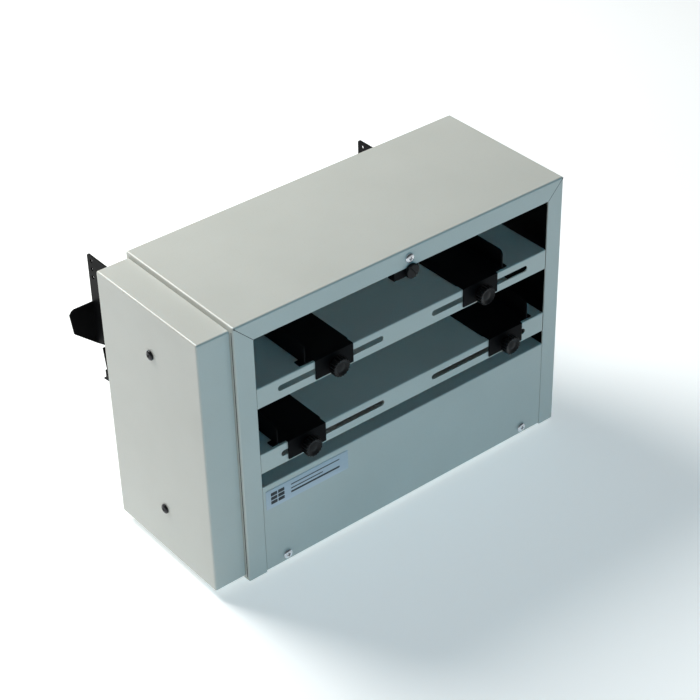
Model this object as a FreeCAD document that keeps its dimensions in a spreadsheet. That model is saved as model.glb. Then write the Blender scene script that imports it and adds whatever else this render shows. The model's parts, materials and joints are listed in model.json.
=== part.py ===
import FreeCAD, Part
import Sketcher
import math
import os
import re

# A tabletop two-pass card slitter: sheets are fed by hand over the upper table and cut into
# strips, and the strips are fed over the lower table and cut into cards, which drop into a
# catch tray behind. The drive gears run in the end cover on the left.
#
# Every piece is drawn in cabinet coordinates: x from the cabinet's left side, y backwards from
# the plane of its front face, z up from the lower edge of its front frame. keep() then moves
# each finished piece into the part's frame: the middle of the footprint, on the surface that
# the feet stand on.

SIZES = {
    # cabinet sheet metal
    "cabinet_wide": (353.6, "cabinet without its end cover"),
    "cabinet_deep": (147.6, "front face to rear panel"),
    "cabinet_high": (260.0, "lower edge of the front frame to the top"),
    "skin": (1.2, "sheet steel thickness"),
    "bend": (1.8, "outer radius of the sheet's bends"),
    "left_flange": (18.5, "front frame, left upright"),
    "right_flange": (17.4, "front frame, right upright"),
    "top_flange": (18.2, "front frame, top rail"),
    "rear_flange": (12.0, "inward rear flanges"),
    "flange_start": (4.0, "lower end of the rear flanges"),
    "window_front": (30.0, "opening for the drive in the left wall, front edge"),
    "window_back": (127.0, "that opening, rear edge"),
    "window_low": (27.0, "that opening, lower edge"),
    "window_top": (236.0, "that opening, upper edge"),
    "mitre_gap": (0.5, "open seam at the top corners of the front frame"),
    "fit_gap": (0.2, "gap between neighbouring sheets"),
    "edge_gap": (0.4, "visible gap beside panels and table lips"),
    # end cover
    "cover_wide": (31.2, "how far the end cover stands out"),
    "cover_low": (2.8, "cover, lower face"),
    "cover_top": (255.2, "cover, upper face"),
    "cover_front": (5.4, "cover, front face"),
    "cover_back": (146.0, "cover, rear face"),
    "cover_screw_back": (73.4, "cover screws behind the front face"),
    "cover_screw_low": (50.6, "lower cover screw"),
    "cover_screw_top": (210.4, "upper cover screw"),
    # base and lower front panel
    "pan_low": (1.8, "underside of the base pan"),
    "pan_upturn": (14.0, "height of the pan's upturned edges"),
    "panel_top": (92.1, "top edge of the lower front panel"),
    "panel_return": (22.0, "depth of its top return"),
    "panel_hem": (12.0, "height of the hem behind its top return"),
    "panel_screw_side": (40.8, "panel screws in from the cabinet's sides"),
    "panel_screw_up": (8.5, "panel screws above the lower edge"),
    "plate_left": (21.5, "label plate, left end"),
    "plate_right": (108.8, "label plate, right end"),
    "plate_low": (66.4, "label plate, lower edge"),
    "plate_top": (86.1, "label plate, upper edge"),
    "plate_thick": (0.5, "label plate thickness"),
    # tables
    "upper_level": (193.0, "top face of the upper table"),
    "lower_level": (126.4, "top face of the lower table"),
    "lip_gap": (1.0, "gap at the right end of a table's lip"),
    "lip_high": (19.7, "front lip of a table"),
    "table_back": (80.0, "rear edge of a table"),
    "table_tab": (18.0, "depth of the tab that reaches the right side frame"),
    "table_hem": (9.0, "height of a table's rear hem"),
    "table_end": (12.0, "height of the flanges at a table's ends"),
    "table_end_front": (10.0, "front edge of those flanges"),
    "slot_high": (5.6, "height of the lip's slots"),
    "slot_drop": (9.6, "slot centre below the table's top"),
    "slot_near": (39.9, "outer end of a slot from the cabinet's side"),
    "slot_far": (150.0, "inner end of a slot from the cabinet's side"),
    # paper guides
    "guide_skin": (1.2, "guide sheet thickness"),
    "glide": (0.3, "gap between guides and tables"),
    "guide_wall": (19.0, "height of the guide's wall above the table"),
    "guide_front": (2.0, "front end of the wall"),
    "guide_back": (76.0, "rear end of the wall"),
    "guide_foot": (49.2, "width of the guide's base plate"),
    "guide_foot_back": (58.0, "rear edge of the base plate"),
    "guide_tab_near": (8.9, "front tab, nearer edge from the wall"),
    "guide_tab_wide": (39.3, "width of the front tab"),
    "guide_tab_high": (19.0, "height of the front tab"),
    "guide_ear": (5.0, "ear that stands out at the foot of the wall"),
    "knob_offset": (28.5, "knob's stud from the wall's outer face"),
    "knob_reach": (11.2, "knob's face in front of the cabinet"),
    "knob_radius": (8.8, "thumb knob"),
    "knob_hub": (4.6, "hub behind the thumb knob"),
    "nut_wide": (9.0, "clamp nut across the cabinet"),
    "nut_high": (8.0, "clamp nut height"),
    "nut_thick": (3.4, "clamp nut thickness"),
    "stud_radius": (2.0, "knob's threaded stud"),
    "upper_left_wall": (68.6, "outer face of the upper left guide"),
    "upper_right_wall": (286.0, "outer face of the upper right guide"),
    "lower_left_wall": (37.5, "outer face of the lower left guide"),
    "lower_right_wall": (317.6, "outer face of the lower right guide"),
    # cutting stages
    "paper_middle": (177.75, "middle of the sheet's path across the machine"),
    "nip_back": (96.0, "shafts behind the front face"),
    "nip_half": (14.0, "half the distance between a stage's shafts"),
    "nip_rise": (0.5, "paper plane above the table"),
    "frame_skin": (3.0, "side frame plate thickness"),
    "frame_in": (1.4, "outer face of a side frame from the cabinet's side"),
    "frame_clear": (4.0, "side frame short of the front face and the rear panel"),
    "frame_top": (250.0, "upper edge of a side frame"),
    "frame_foot": (17.0, "width of a side frame's foot flange"),
    "frame_foot_front": (30.0, "front edge of the foot flange"),
    "frame_foot_back": (127.0, "rear edge of the foot flange"),
    "lead_front": (36.0, "hole for the leads in the left side frame, front edge"),
    "lead_back": (56.0, "that hole, rear edge"),
    "lead_low": (134.0, "that hole, lower edge"),
    "lead_top": (168.0, "that hole, upper edge"),
    "spacer_radius": (4.0, "spacer rod between the side frames"),
    "spacer_end": (2.9, "turned-down end of a spacer rod"),
    "shaft_radius": (6.0, "cutter shaft"),
    "journal_radius": (5.0, "cutter shaft in its bushes"),
    "seat_radius": (4.0, "cutter shaft where the gears sit"),
    "bush_radius": (8.0, "bush barrel"),
    "bush_lip": (10.5, "bush flange radius"),
    "bush_lip_thick": (2.0, "bush flange thickness"),
    "running": (0.04, "radial clearance of a running fit"),
    "seating": (0.02, "radial clearance of a fixed fit"),
    "blade_radius": (14.5, "slitting disc"),
    "blade_thick": (2.4, "slitting disc thickness"),
    "blade_gap": (0.1, "side gap between paired discs"),
    "hub_radius": (10.5, "hub of a slitting disc"),
    "hub_long": (7.0, "length of that hub"),
    "roller_radius": (13.7, "rubber feed roller"),
    "roller_long": (18.0, "length of a feed roller"),
    "upper_pitch": (50.8, "card height: distance between the upper cuts"),
    "lower_pitch": (88.9, "card width: distance between the lower cuts"),
    # gears
    "gear_module": (1.0, "tooth module of every gear"),
    "backlash": (0.2, "tooth thinning at the pitch circle"),
    "shaft_teeth": (28, "gears that pair the shafts"),
    "idler_teeth": (50, "idler between the two stages"),
    "drive_teeth": (60, "driven gear on the lowest shaft"),
    "pinion_teeth": (20, "pinion on the gearbox output"),
    "plane_one": (-3.0, "right side of the first gear plane"),
    "plane_two": (-12.0, "right side of the second gear plane"),
    "plane_three": (-21.6, "right side of the third gear plane"),
    "gear_wide": (7.0, "face width of a gear"),
    "drive_hub": (12.0, "hub of the driven gear"),
    "web_ring": (21.0, "lightening holes from its middle"),
    "web_radius": (5.0, "lightening holes in its web"),
    # gearmotor
    "idler_radius": (4.0, "idler pin"),
    "output_radius": (4.0, "gearbox output shaft"),
    "motor_radius": (30.0, "motor body"),
    "motor_up": (50.0, "motor axis above the lower edge"),
    "gearbox_front": (62.0, "gearbox, front face"),
    "gearbox_back": (130.0, "gearbox, rear face"),
    "gearbox_low": (18.0, "gearbox, lower face"),
    "gearbox_top": (90.0, "gearbox, upper face"),
    "gearbox_wide": (28.0, "gearbox depth along the shafts"),
    "gearbox_bore": (16.5, "depth of the output shaft's bore"),
    "motor_long": (82.0, "motor body length"),
    # feet and fasteners
    "foot_high": (5.0, "lower edge of the cabinet above the surface"),
    "foot_radius": (9.0, "rubber foot"),
    "foot_seat": (1.2, "screw seat inside a foot, below the cabinet's lower edge"),
    "foot_side": (24.0, "feet in from the cabinet's sides"),
    "foot_front": (22.0, "feet in from the front and the back"),
    "head_radius": (4.4, "pan head of the case screws"),
    "head_high": (2.6, "height of that head"),
    "shank_radius": (2.0, "case screw shank"),
    "shank_long": (7.5, "case screw shank length"),
    "hole_radius": (2.2, "holes for the case screws"),
    # hold-down above the upper feed opening
    "hold_screw_x": (178.3, "hold-down screw across the cabinet"),
    "hold_screw_up": (250.6, "hold-down screw above the lower edge"),
    "hold_left": (163.3, "left end of the hold-down bar"),
    "hold_right": (189.5, "right end of the hold-down bar"),
    "hold_low": (232.4, "lower face of the hold-down bar"),
    "hold_knob_x": (180.0, "hold-down knob across the cabinet"),
    "hold_knob_up": (238.1, "hold-down knob above the lower edge"),
    "hold_knob_radius": (6.8, "hold-down knob"),
    "hold_plate_back": (3.4, "rear face of the plate that carries the bar"),
    "hold_bar_back": (9.5, "rear face of the hold-down bar"),
    # catch tray and its brackets
    "tray_back": (252.4, "rearmost point of the tray's lip"),
    "bracket_skin": (1.5, "bracket sheet thickness"),
    "bracket_left": (20.3, "outer face of the left bracket"),
    "bracket_right": (328.4, "outer face of the right bracket"),
    "bracket_back": (250.0, "rear edge of the brackets"),
    "bracket_top": (200.9, "top edge of the brackets"),
    "bracket_ear_foot": (105.0, "foot of the ear at the plate's rear edge"),
    "bracket_set_back": (16.0, "how far the plate is set back below its ear"),
    "bracket_set_top": (111.0, "upper corner of that step"),
    "bracket_flange": (16.0, "width of the flange on the rear panel"),
    "bracket_flange_low": (84.0, "lower edge of that flange"),
    "bracket_flange_top": (190.0, "upper edge of that flange"),
    "bracket_screw_in": (9.5, "flange screws beside the bracket's plate"),
    "bracket_screw_low": (98.0, "lower flange screw"),
    "bracket_screw_top": (176.0, "upper flange screw"),
    "adjust_radius": (1.8, "adjusting holes at the top rear corner"),
    "adjust_in": (6.5, "adjusting holes in from the rear edge"),
    "adjust_down": (5.5, "first adjusting hole below the top edge"),
    "adjust_step": (8.5, "distance between the adjusting holes"),
    "tray_slope": (9.5, "slope of the tray's floor, degrees"),
    "tray_lip": (29.0, "height of the tray's rear lip"),
    "tray_lip_top": (94.8, "top of that lip above the cabinet's lower edge"),
    "tray_wall": (12.0, "height of the tray's side walls"),
    # rear panel
    "exit_low": (8.0, "exit slots, below the table's level"),
    "exit_high": (12.0, "exit slots, above the table's level"),
    "exit_left": (24.0, "left end of the exit slots"),
    "exit_right": (320.5, "right end of the exit slots"),
    "rear_screw_side": (8.0, "rear panel screws in from the cabinet's sides"),
    "vent_left": (60.0, "first cooling slot"),
    "vent_step": (11.0, "distance between cooling slots"),
    "vent_wide": (4.0, "width of a cooling slot"),
    "vent_low": (26.0, "lower end of the cooling slots"),
    "vent_top": (62.0, "upper end of the cooling slots"),
    # mains inlet and switch
    "inlet_x": (300.0, "mains inlet across the cabinet"),
    "inlet_up": (38.0, "mains inlet and switch above the lower edge"),
    "inlet_flange_half": (25.0, "half the width of the inlet's flange"),
    "inlet_flange_tall": (11.5, "half the height of the inlet's and the switch's flange"),
    "inlet_flange_thick": (2.5, "thickness of the inlet's flange"),
    "inlet_core_half": (13.5, "half the width of the inlet's body"),
    "inlet_core_tall": (10.0, "half the height of the inlet's body"),
    "inlet_core_deep": (24.0, "depth of the inlet's body behind the panel's face"),
    "inlet_well_half": (12.0, "half the width of the plug's recess"),
    "inlet_well_tall": (8.2, "half the height of the plug's recess"),
    "inlet_well_deep": (17.0, "depth of the plug's recess"),
    "inlet_screw_side": (20.0, "the inlet's fixing holes beside its middle"),
    "inlet_screw_radius": (1.7, "the inlet's fixing holes"),
    "switch_x": (258.0, "rocker switch across the cabinet"),
    "switch_flange_half": (8.0, "half the width of the switch's flange"),
    "switch_flange_thick": (1.6, "thickness of the switch's flange"),
    "switch_core_half": (6.5, "half the width of the switch's body"),
    "switch_core_tall": (9.7, "half the height of the switch's body"),
    "switch_core_deep": (18.0, "depth of the switch's body"),
    "switch_well_half": (5.2, "half the width of the rocker's recess"),
    "switch_well_tall": (8.6, "half the height of the rocker's recess"),
    "switch_well_deep": (8.0, "depth of the rocker's recess"),
    "rocker_half": (4.8, "half the width of the rocker"),
    "rocker_pin": (1.0, "pivot pin of the rocker"),
    "rocker_pin_half": (6.0, "half the length of that pin"),
    "rocker_in": (2.4, "rocker's pivot behind the panel's face"),
}
DRAWN = {name: value for name, (value, meaning) in SIZES.items()}

doc = FreeCAD.newDocument("card_slitter")
sheet = doc.addObject("Spreadsheet::Sheet", "Dims")
for row, (name, (value, meaning)) in enumerate(SIZES.items(), start=1):
    sheet.set(f"A{row}", name)
    sheet.set(f"B{row}", str(value))
    sheet.set(f"C{row}", meaning)
    sheet.setAlias(f"B{row}", name)
doc.recompute()

V = FreeCAD.Vector
ALONG = {
    "x": FreeCAD.Rotation(V(0, 1, 0), 90),
    "-x": FreeCAD.Rotation(V(0, 1, 0), -90),
    "y": FreeCAD.Rotation(V(1, 0, 0), -90),
    "-y": FreeCAD.Rotation(V(1, 0, 0), 90),
    "z": FreeCAD.Rotation(),
    "-z": FreeCAD.Rotation(V(1, 0, 0), 180),
}
ORIGIN = ("(cover_wide + head_high - cabinet_wide) / 2", "(knob_reach - tray_back) / 2", "foot_high")
WORD = re.compile(r"[a-z][a-z_]*")
kept = []


# ---------------------------------------------------------------- helpers

def bind(thing, prop, text):
    """Tie a property to the sheet; every cell name in the text becomes a reference to it."""
    linked = WORD.sub(lambda m: "Dims." + m.group() if m.group() in SIZES else m.group(), str(text))
    thing.setExpression(prop, linked)


def place(thing, at, along="z"):
    """Turn a thing's local z to an axis and put it at a point given as three expressions."""
    thing.Placement = FreeCAD.Placement(V(), ALONG[along])
    for axis, text in zip("xyz", at):
        bind(thing, f"Placement.Base.{axis}", text)
    return thing


def keep(thing, label, at=("0", "0", "0"), along="z"):
    """Name a finished piece and move it from cabinet coordinates into the part's frame."""
    thing.Label = label
    place(thing, [f"{start} + {text}" for start, text in zip(ORIGIN, at)], along)
    kept.append(thing)


def block(name, x, y, z):
    """A box between two corners: each of x, y and z is a (low, high) pair."""
    box = doc.addObject("Part::Box", name)
    for size, axis, (low, high) in zip(("Length", "Width", "Height"), "xyz", (x, y, z)):
        bind(box, size, f"({high}) - ({low})")
        bind(box, f"Placement.Base.{axis}", low)
    return box


def rod(name, axis, across, span, radius):
    """A cylinder along an axis; across is its centre in the other two axes."""
    low, high = span
    at = {"x": (low, *across), "y": (across[0], low, across[1]), "z": (*across, low)}[axis]
    made = place(doc.addObject("Part::Cylinder", name), at, axis)
    bind(made, "Radius", radius)
    bind(made, "Height", f"({high}) - ({low})")
    return made


def fuse(name, pieces):
    joined = doc.addObject("Part::MultiFuse", name)
    joined.Shapes = pieces
    joined.Refine = True
    return joined


def cut(name, base, tools):
    made = doc.addObject("Part::Cut", name)
    made.Base = base
    made.Tool = tools[0] if len(tools) == 1 else fuse(name + "_tools", tools)
    made.Refine = True
    return made


def soften(name, base, radius, wanted):
    """Round the straight edges whose middle and direction the wanted test accepts."""
    doc.recompute()
    made = doc.addObject("Part::Fillet", name)
    made.Base = base
    made.Edges = [(index, radius, radius) for index, edge in enumerate(base.Shape.Edges, start=1)
                  if wanted(edge.CenterOfMass, edge.tangentAt(edge.FirstParameter))]
    return made


def stadium(name, x, y, high):
    """A slot tool along X with round ends: x and y are (low, high), high is (centre, height)."""
    middle, tall = high
    reach = f"({tall}) / 2"
    straight = (f"{x[0]} + {reach}", f"{x[1]} - {reach}")
    ends = [rod(f"{name}_end{side}", "y", (end, middle), y, reach)
            for side, end in enumerate(straight)]
    span = block(f"{name}_span", straight, y, (f"{middle} - {reach}", f"{middle} + {reach}"))
    return fuse(name, [span, *ends])


def origin_part(body, role):
    return next(part for part in body.Origin.OriginFeatures if part.Role == role)


def new_sketch(body, name, plane, offset="0"):
    """A sketch on one of the body's own origin planes, moved along the plane's normal."""
    sketch = body.newObject("Sketcher::SketchObject", name)
    sketch.AttachmentSupport = [(origin_part(body, plane), "")]
    sketch.MapMode = "FlatFace"
    bind(sketch, "AttachmentOffset.Base.z", offset)
    return sketch


def pin(sketch, curve, end, spot):
    """Fix a point of a sketch curve at a spot given as two expressions."""
    for axis_line, kind, text in zip((-2, -1), ("DistanceX", "DistanceY"), spot):
        if str(text) == "0":
            sketch.addConstraint(Sketcher.Constraint("PointOnObject", curve, end, axis_line))
        else:
            row = sketch.addConstraint(Sketcher.Constraint(kind, -1, 1, curve, end, 1.0))
            bind(sketch, f"Constraints[{row}]", text)


def outline(sketch, corners):
    """A closed polygon whose corners are pairs of expressions."""
    count = len(corners)
    first = sketch.GeometryCount
    spots = [V(math.cos(math.tau * k / count), math.sin(math.tau * k / count)) for k in range(count)]
    for k in range(count):
        sketch.addGeometry(Part.LineSegment(spots[k], spots[(k + 1) % count]))
    for k, corner in enumerate(corners):
        line, following = first + k, first + (k + 1) % count
        sketch.addConstraint(Sketcher.Constraint("Coincident", line, 2, following, 1))
        pin(sketch, line, 1, corner)


def ring(sketch, centre, radius):
    """A circle with its centre and radius given as expressions."""
    curve = sketch.addGeometry(Part.Circle(V(1, 1, 0), V(0, 0, 1), 1))
    pin(sketch, curve, 3, centre)
    row = sketch.addConstraint(Sketcher.Constraint("Radius", curve, 1.0))
    bind(sketch, f"Constraints[{row}]", radius)


NORMAL = {"XY_Plane": 1, "XZ_Plane": -1, "YZ_Plane": 1}


def extrude(body, name, plane, span, corners, holes=()):
    """Pad a polygon across a span of the axis square to its plane; holes are circles."""
    low, high = span
    start = low if NORMAL[plane] > 0 else f"-({high})"
    sketch = new_sketch(body, name + "_outline", plane, start)
    outline(sketch, corners)
    for centre, radius in holes:
        ring(sketch, centre, radius)
    pad = body.newObject("PartDesign::Pad", name)
    pad.Profile = sketch
    bind(pad, "Length", f"({high}) - ({low})")
    return pad


def pocket(body, name, plane, span, corners=None, circle=None):
    """Cut a polygon or a circle out of a body across a span."""
    low, high = span
    start = high if NORMAL[plane] > 0 else f"-({low})"
    sketch = new_sketch(body, name + "_outline", plane, start)
    if corners:
        outline(sketch, corners)
    else:
        ring(sketch, *circle)
    taken = body.newObject("PartDesign::Pocket", name)
    taken.Profile = sketch
    bind(taken, "Length", f"({high}) - ({low})")
    return taken


def turned(name, corners):
    """A body turned about its local z from (radius, height) corners."""
    body = doc.addObject("PartDesign::Body", name)
    sketch = new_sketch(body, name + "_outline", "XZ_Plane")
    outline(sketch, corners)
    made = body.newObject("PartDesign::Revolution", name + "_turned")
    made.Profile = sketch
    made.ReferenceAxis = (origin_part(body, "Z_Axis"), [""])
    made.Angle = 360
    return body


def round_edges(body, name, radius, wanted):
    """A PartDesign fillet on the straight edges that the wanted test accepts."""
    doc.recompute()
    base = body.Tip
    names = [f"Edge{index}" for index, edge in enumerate(base.Shape.Edges, start=1)
             if wanted(edge.CenterOfMass, edge.tangentAt(edge.FirstParameter))]
    made = body.newObject("PartDesign::Fillet", name)
    made.Base = (base, names)
    bind(made, "Radius", radius)
    return made


def copies(label, master, spots):
    """One node made of separate copies of a master piece; a spot is x, y, z and an axis."""
    links = []
    for number, (*at, along) in enumerate(spots):
        link = doc.addObject("App::Link", f"{label}_{number}")
        link.LinkedObject = master
        link.LinkTransform = False
        links.append(place(link, at, along))
    group = doc.addObject("Part::Compound", label)
    group.Links = links
    keep(group, label)


# ---------------------------------------------------------------- shared masters

def make_screw():
    """A pan-head cross-recess case screw: the head's seat is at z = 0 and the shank points down."""
    screw = turned("case_screw", [
        ("0", "-shank_long"), ("shank_radius", "-shank_long"), ("shank_radius", "0"),
        ("head_radius", "0"), ("head_radius", "head_high * 0.45"),
        ("head_radius * 0.82", "head_high * 0.86"), ("head_radius * 0.45", "head_high"),
        ("0", "head_high")])
    half, wide = "head_radius * 0.55", "head_radius * 0.13"
    for number, (long_way, short_way) in enumerate(((half, wide), (wide, half))):
        corners = [(f"-{long_way}", f"-{short_way}"), (long_way, f"-{short_way}"),
                   (long_way, short_way), (f"-{long_way}", short_way)]
        pocket(screw, f"recess{number}", "XY_Plane", ("head_high * 0.35", "head_high + 1"), corners)
    return screw


SCREW = make_screw()


# ---------------------------------------------------------------- cabinet

WIDE, DEEP, HIGH = "cabinet_wide", "cabinet_deep", "cabinet_high"
PAN_REAR = "cabinet_deep - skin - fit_gap"
INNER = ("frame_in + frame_skin", "cabinet_wide - frame_in - frame_skin")
SHAFT_UP = {
    "upper_top": "upper_level + nip_rise + nip_half",
    "upper_bottom": "upper_level + nip_rise - nip_half",
    "lower_top": "lower_level + nip_rise + nip_half",
    "lower_bottom": "lower_level + nip_rise - nip_half",
}
OUTPUT_UP = "lower_level + nip_rise - nip_half - gear_module * (drive_teeth + pinion_teeth) / 2"
IDLER_UP = "(upper_level + lower_level) / 2 + nip_rise - nip_half"
IDLER_BACK = ("nip_back + sqrt((gear_module * (shaft_teeth + idler_teeth) / 2)^2"
              " - ((upper_level - lower_level) / 2)^2)")

# Fasteners, as the two coordinates in the face that they are driven into.
PANEL_SCREWS = [(x, "panel_screw_up") for x in ("panel_screw_side", "cabinet_wide - panel_screw_side")]
REAR_SCREWS = [(x, up) for x in ("rear_screw_side", "cabinet_wide - rear_screw_side")
               for up in ("30", "72", "222")]
BRACKET_SCREWS = [(x, up) for x in ("bracket_left - bracket_screw_in", "bracket_right + bracket_screw_in")
                  for up in ("bracket_screw_low", "bracket_screw_top")]
FEET = [(x, y) for x in ("foot_side", "cabinet_wide - foot_side")
        for y in ("foot_front", "cabinet_deep - foot_front")]
COVER_SCREWS = [("cover_screw_back", up) for up in ("cover_screw_low", "cover_screw_top")]
GEARBOX_SCREWS = [(y, up) for y in ("gearbox_front + 8", "gearbox_back - 8")
                  for up in ("gearbox_low + 16", "gearbox_top - 7")]
FRAME_SCREWS = [(y, up) for y in ("16", "cabinet_deep - 12") for up in ("60", "226")]
FRAME_FOOT_SCREWS = [(x, y) for x in ("frame_in + 11", "cabinet_wide - frame_in - 11")
                     for y in ("45", "112")]
SPACERS = [("20", "244"), ("132", "240"), ("132", "160"), ("36", "80")]


def holes_for(name, axis, spots, span, radius="hole_radius"):
    """One round hole tool for each spot."""
    return [rod(f"{name}{number}", axis, spot, span, radius) for number, spot in enumerate(spots)]


def cabinet_shell():
    """Folded wrap: top, two side walls, mitred front frame and inward rear flanges."""
    inner = "cabinet_deep - skin"
    flange_y = (f"{inner} - skin", inner)
    walls = [
        block("shell_top", ("0", WIDE), ("0", DEEP), ("cabinet_high - skin", HIGH)),
        block("shell_left", ("0", "skin"), ("0", DEEP), ("0", HIGH)),
        block("shell_right", ("cabinet_wide - skin", WIDE), ("0", DEEP), ("0", HIGH)),
        block("front_left", ("0", "left_flange"), ("0", "skin"), ("0", HIGH)),
        block("front_right", ("cabinet_wide - right_flange", WIDE), ("0", "skin"), ("0", HIGH)),
        block("front_top", ("0", WIDE), ("0", "skin"), ("cabinet_high - top_flange", HIGH)),
        block("rear_left", ("0", "rear_flange"), flange_y, ("flange_start", HIGH)),
        block("rear_right", ("cabinet_wide - rear_flange", WIDE), flange_y, ("flange_start", HIGH)),
        block("rear_top", ("0", WIDE), flange_y, ("cabinet_high - rear_flange", HIGH)),
    ]
    folded = fuse("shell_folded", walls)
    top, wide = DRAWN["cabinet_high"], DRAWN["cabinet_wide"]

    def outer_bend(spot, way):
        front_top = spot.y < 0.1 and spot.z > top - 0.1 and abs(way.x) > 0.9
        side_top = spot.z > top - 0.1 and abs(way.y) > 0.9 and (spot.x < 0.1 or spot.x > wide - 0.1)
        front_side = spot.y < 0.1 and abs(way.z) > 0.9 and (spot.x < 0.1 or spot.x > wide - 0.1)
        return front_top or side_top or front_side

    bent = soften("shell_bent", folded, DRAWN["bend"], outer_bend)
    wall = ("-1", "skin + 1")
    tools = [block("drive_window", wall, ("window_front", "window_back"), ("window_low", "window_top"))]
    tools += holes_for("hold_hole", "y", [("hold_screw_x", "hold_screw_up")], wall)
    tools += holes_for("rear_hole", "y", REAR_SCREWS + BRACKET_SCREWS, (f"{flange_y[0]} - 1", DEEP))
    tools += holes_for("frame_hole", "x", FRAME_SCREWS, wall)
    for side, corner, tilt in (("left", "0", 45), ("right", WIDE, -45)):
        seam = doc.addObject("Part::Box", f"mitre_{side}")
        bind(seam, "Length", "mitre_gap")
        bind(seam, "Width", "skin + 1.01")
        bind(seam, "Height", "top_flange * 1.3")
        seam.Placement = FreeCAD.Placement(V(), FreeCAD.Rotation(V(0, 1, 0), tilt + 180))
        bind(seam, "Placement.Base.x", f"{corner} + mitre_gap * 0.7")
        bind(seam, "Placement.Base.y", "-1")
        bind(seam, "Placement.Base.z", "cabinet_high - bend * 0.4")
        tools.append(seam)
    keep(cut("shell", bent, tools), "cabinet_shell")


def end_cover():
    """Open box of sheet steel over the drive gears, held by two long screws."""
    x = ("-cover_wide", "-fit_gap")
    y = ("cover_front", "cover_back")
    z = ("cover_low", "cover_top")
    solid = block("cover_solid", x, y, z)
    left = -DRAWN["cover_wide"]
    bent = soften("cover_bent", solid, DRAWN["bend"],
                  lambda spot, way: spot.x < left + 0.1 or abs(way.x) > 0.9)
    room = block("cover_room", ("skin - cover_wide", "1"), ("cover_front + skin", "cover_back - skin"),
                 ("cover_low + skin", "cover_top - skin"))
    holes = holes_for("cover_hole", "x", COVER_SCREWS, ("-cover_wide - 1", "3 - cover_wide"))
    keep(cut("cover", bent, [room, *holes]), "end_cover")
    reach = "cover_wide - skin + frame_in"
    post = turned("cover_post_master", [
        ("0", "0"), ("3.2", "0"), ("3.2", f"{reach} - fit_gap"), ("hole_radius", f"{reach} - fit_gap"),
        ("hole_radius", f"{reach} - shank_long - 1"), ("0", f"{reach} - shank_long - 1")])
    copies("cover_posts", post, [("frame_in", *spot, "-x") for spot in COVER_SCREWS])


def base_pan():
    """Bottom sheet with its front and rear edges turned up behind the panels."""
    inner_x = ("frame_in", "cabinet_wide - frame_in")
    clear_x = ("left_flange + 1", "cabinet_wide - right_flange - 1")
    front, rear = "skin + fit_gap", PAN_REAR
    upturn = ("pan_low", "pan_upturn")
    plates = [
        block("pan_floor", inner_x, (front, rear), ("pan_low", "pan_low + skin")),
        block("pan_front", clear_x, (front, f"{front} + skin"), upturn),
        block("pan_rear", clear_x, (f"{rear} - skin", rear), upturn),
    ]
    through = ("0", "pan_low + skin + 1")
    tools = holes_for("pan_panel_hole", "y", PANEL_SCREWS, ("0", f"{front} + skin + 1"))
    tools += holes_for("pan_foot_hole", "z", FEET, through)
    tools += holes_for("pan_frame_hole", "z", FRAME_FOOT_SCREWS, through)
    keep(cut("pan", fuse("pan_folded", plates), tools), "base_pan")


def lower_front_panel():
    """Sheet below the lower table, folded back at its top, with the label plate on it."""
    x = ("left_flange + edge_gap", "cabinet_wide - right_flange - edge_gap")
    top = ("panel_top - skin", "panel_top")
    plates = [
        block("panel_face", x, ("0", "skin"), ("pan_low", "panel_top")),
        block("panel_shelf", x, ("0", "panel_return"), top),
        block("panel_hem", x, ("panel_return - skin", "panel_return"),
              ("panel_top - panel_hem", "panel_top")),
    ]
    high = DRAWN["panel_top"]
    bent = soften("panel_bent", fuse("panel_folded", plates), DRAWN["bend"] * 0.6,
                  lambda spot, way: spot.y < 0.1 and spot.z > high - 0.1 and abs(way.x) > 0.9)
    holes = holes_for("panel_hole", "y", PANEL_SCREWS, ("-1", "skin + 1"))
    keep(cut("panel", bent, holes), "lower_front_panel")
    plate = doc.addObject("PartDesign::Body", "plate_body")
    corners = [("plate_left", "plate_low"), ("plate_right", "plate_low"),
               ("plate_right", "plate_top"), ("plate_left", "plate_top")]
    extrude(plate, "plate_sheet", "XZ_Plane", ("-plate_thick", "0"), corners)
    keep(plate, "label_plate")


VENTS = 9
INLET_SCREWS = [(f"inlet_x {way} inlet_screw_side", "inlet_up") for way in "-+"]


def centred(name, middle, half, y, tall):
    """A block about a middle across the cabinet, at the height of the inlet and the switch."""
    return block(name, (f"{middle} - ({half})", f"{middle} + ({half})"), y,
                 (f"inlet_up - ({tall})", f"inlet_up + ({tall})"))


def rear_panel():
    """Rear sheet with the two exit slots, cooling slots and the openings for the switch and inlet."""
    x = ("skin + fit_gap", "cabinet_wide - skin - fit_gap")
    y = ("cabinet_deep - skin", DEEP)
    panel = block("rear_sheet", x, y, ("pan_low", "cabinet_high - skin - fit_gap"))
    through = ("cabinet_deep - skin - 1", "cabinet_deep + 1")
    tools = [block(f"exit_{stage}", ("exit_left", "exit_right"), through,
                   (f"{stage}_level - exit_low", f"{stage}_level + exit_high"))
             for stage in ("upper", "lower")]
    tools += holes_for("panel_rear_hole", "y", REAR_SCREWS + BRACKET_SCREWS, through)
    for number in range(VENTS):
        left = f"vent_left + vent_step * {number}"
        tools.append(block(f"vent{number}", (left, f"{left} + vent_wide"), through,
                           ("vent_low", "vent_top")))
    tools.append(centred("inlet_hole", "inlet_x", "inlet_core_half + 0.3", through,
                         "inlet_core_tall + fit_gap"))
    tools.append(centred("switch_hole", "switch_x", "switch_core_half + fit_gap", through,
                         "switch_core_tall + fit_gap"))
    tools += holes_for("inlet_screw_hole", "y", INLET_SCREWS, through, "inlet_screw_radius")
    keep(cut("rear", panel, tools), "rear_panel")


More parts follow.
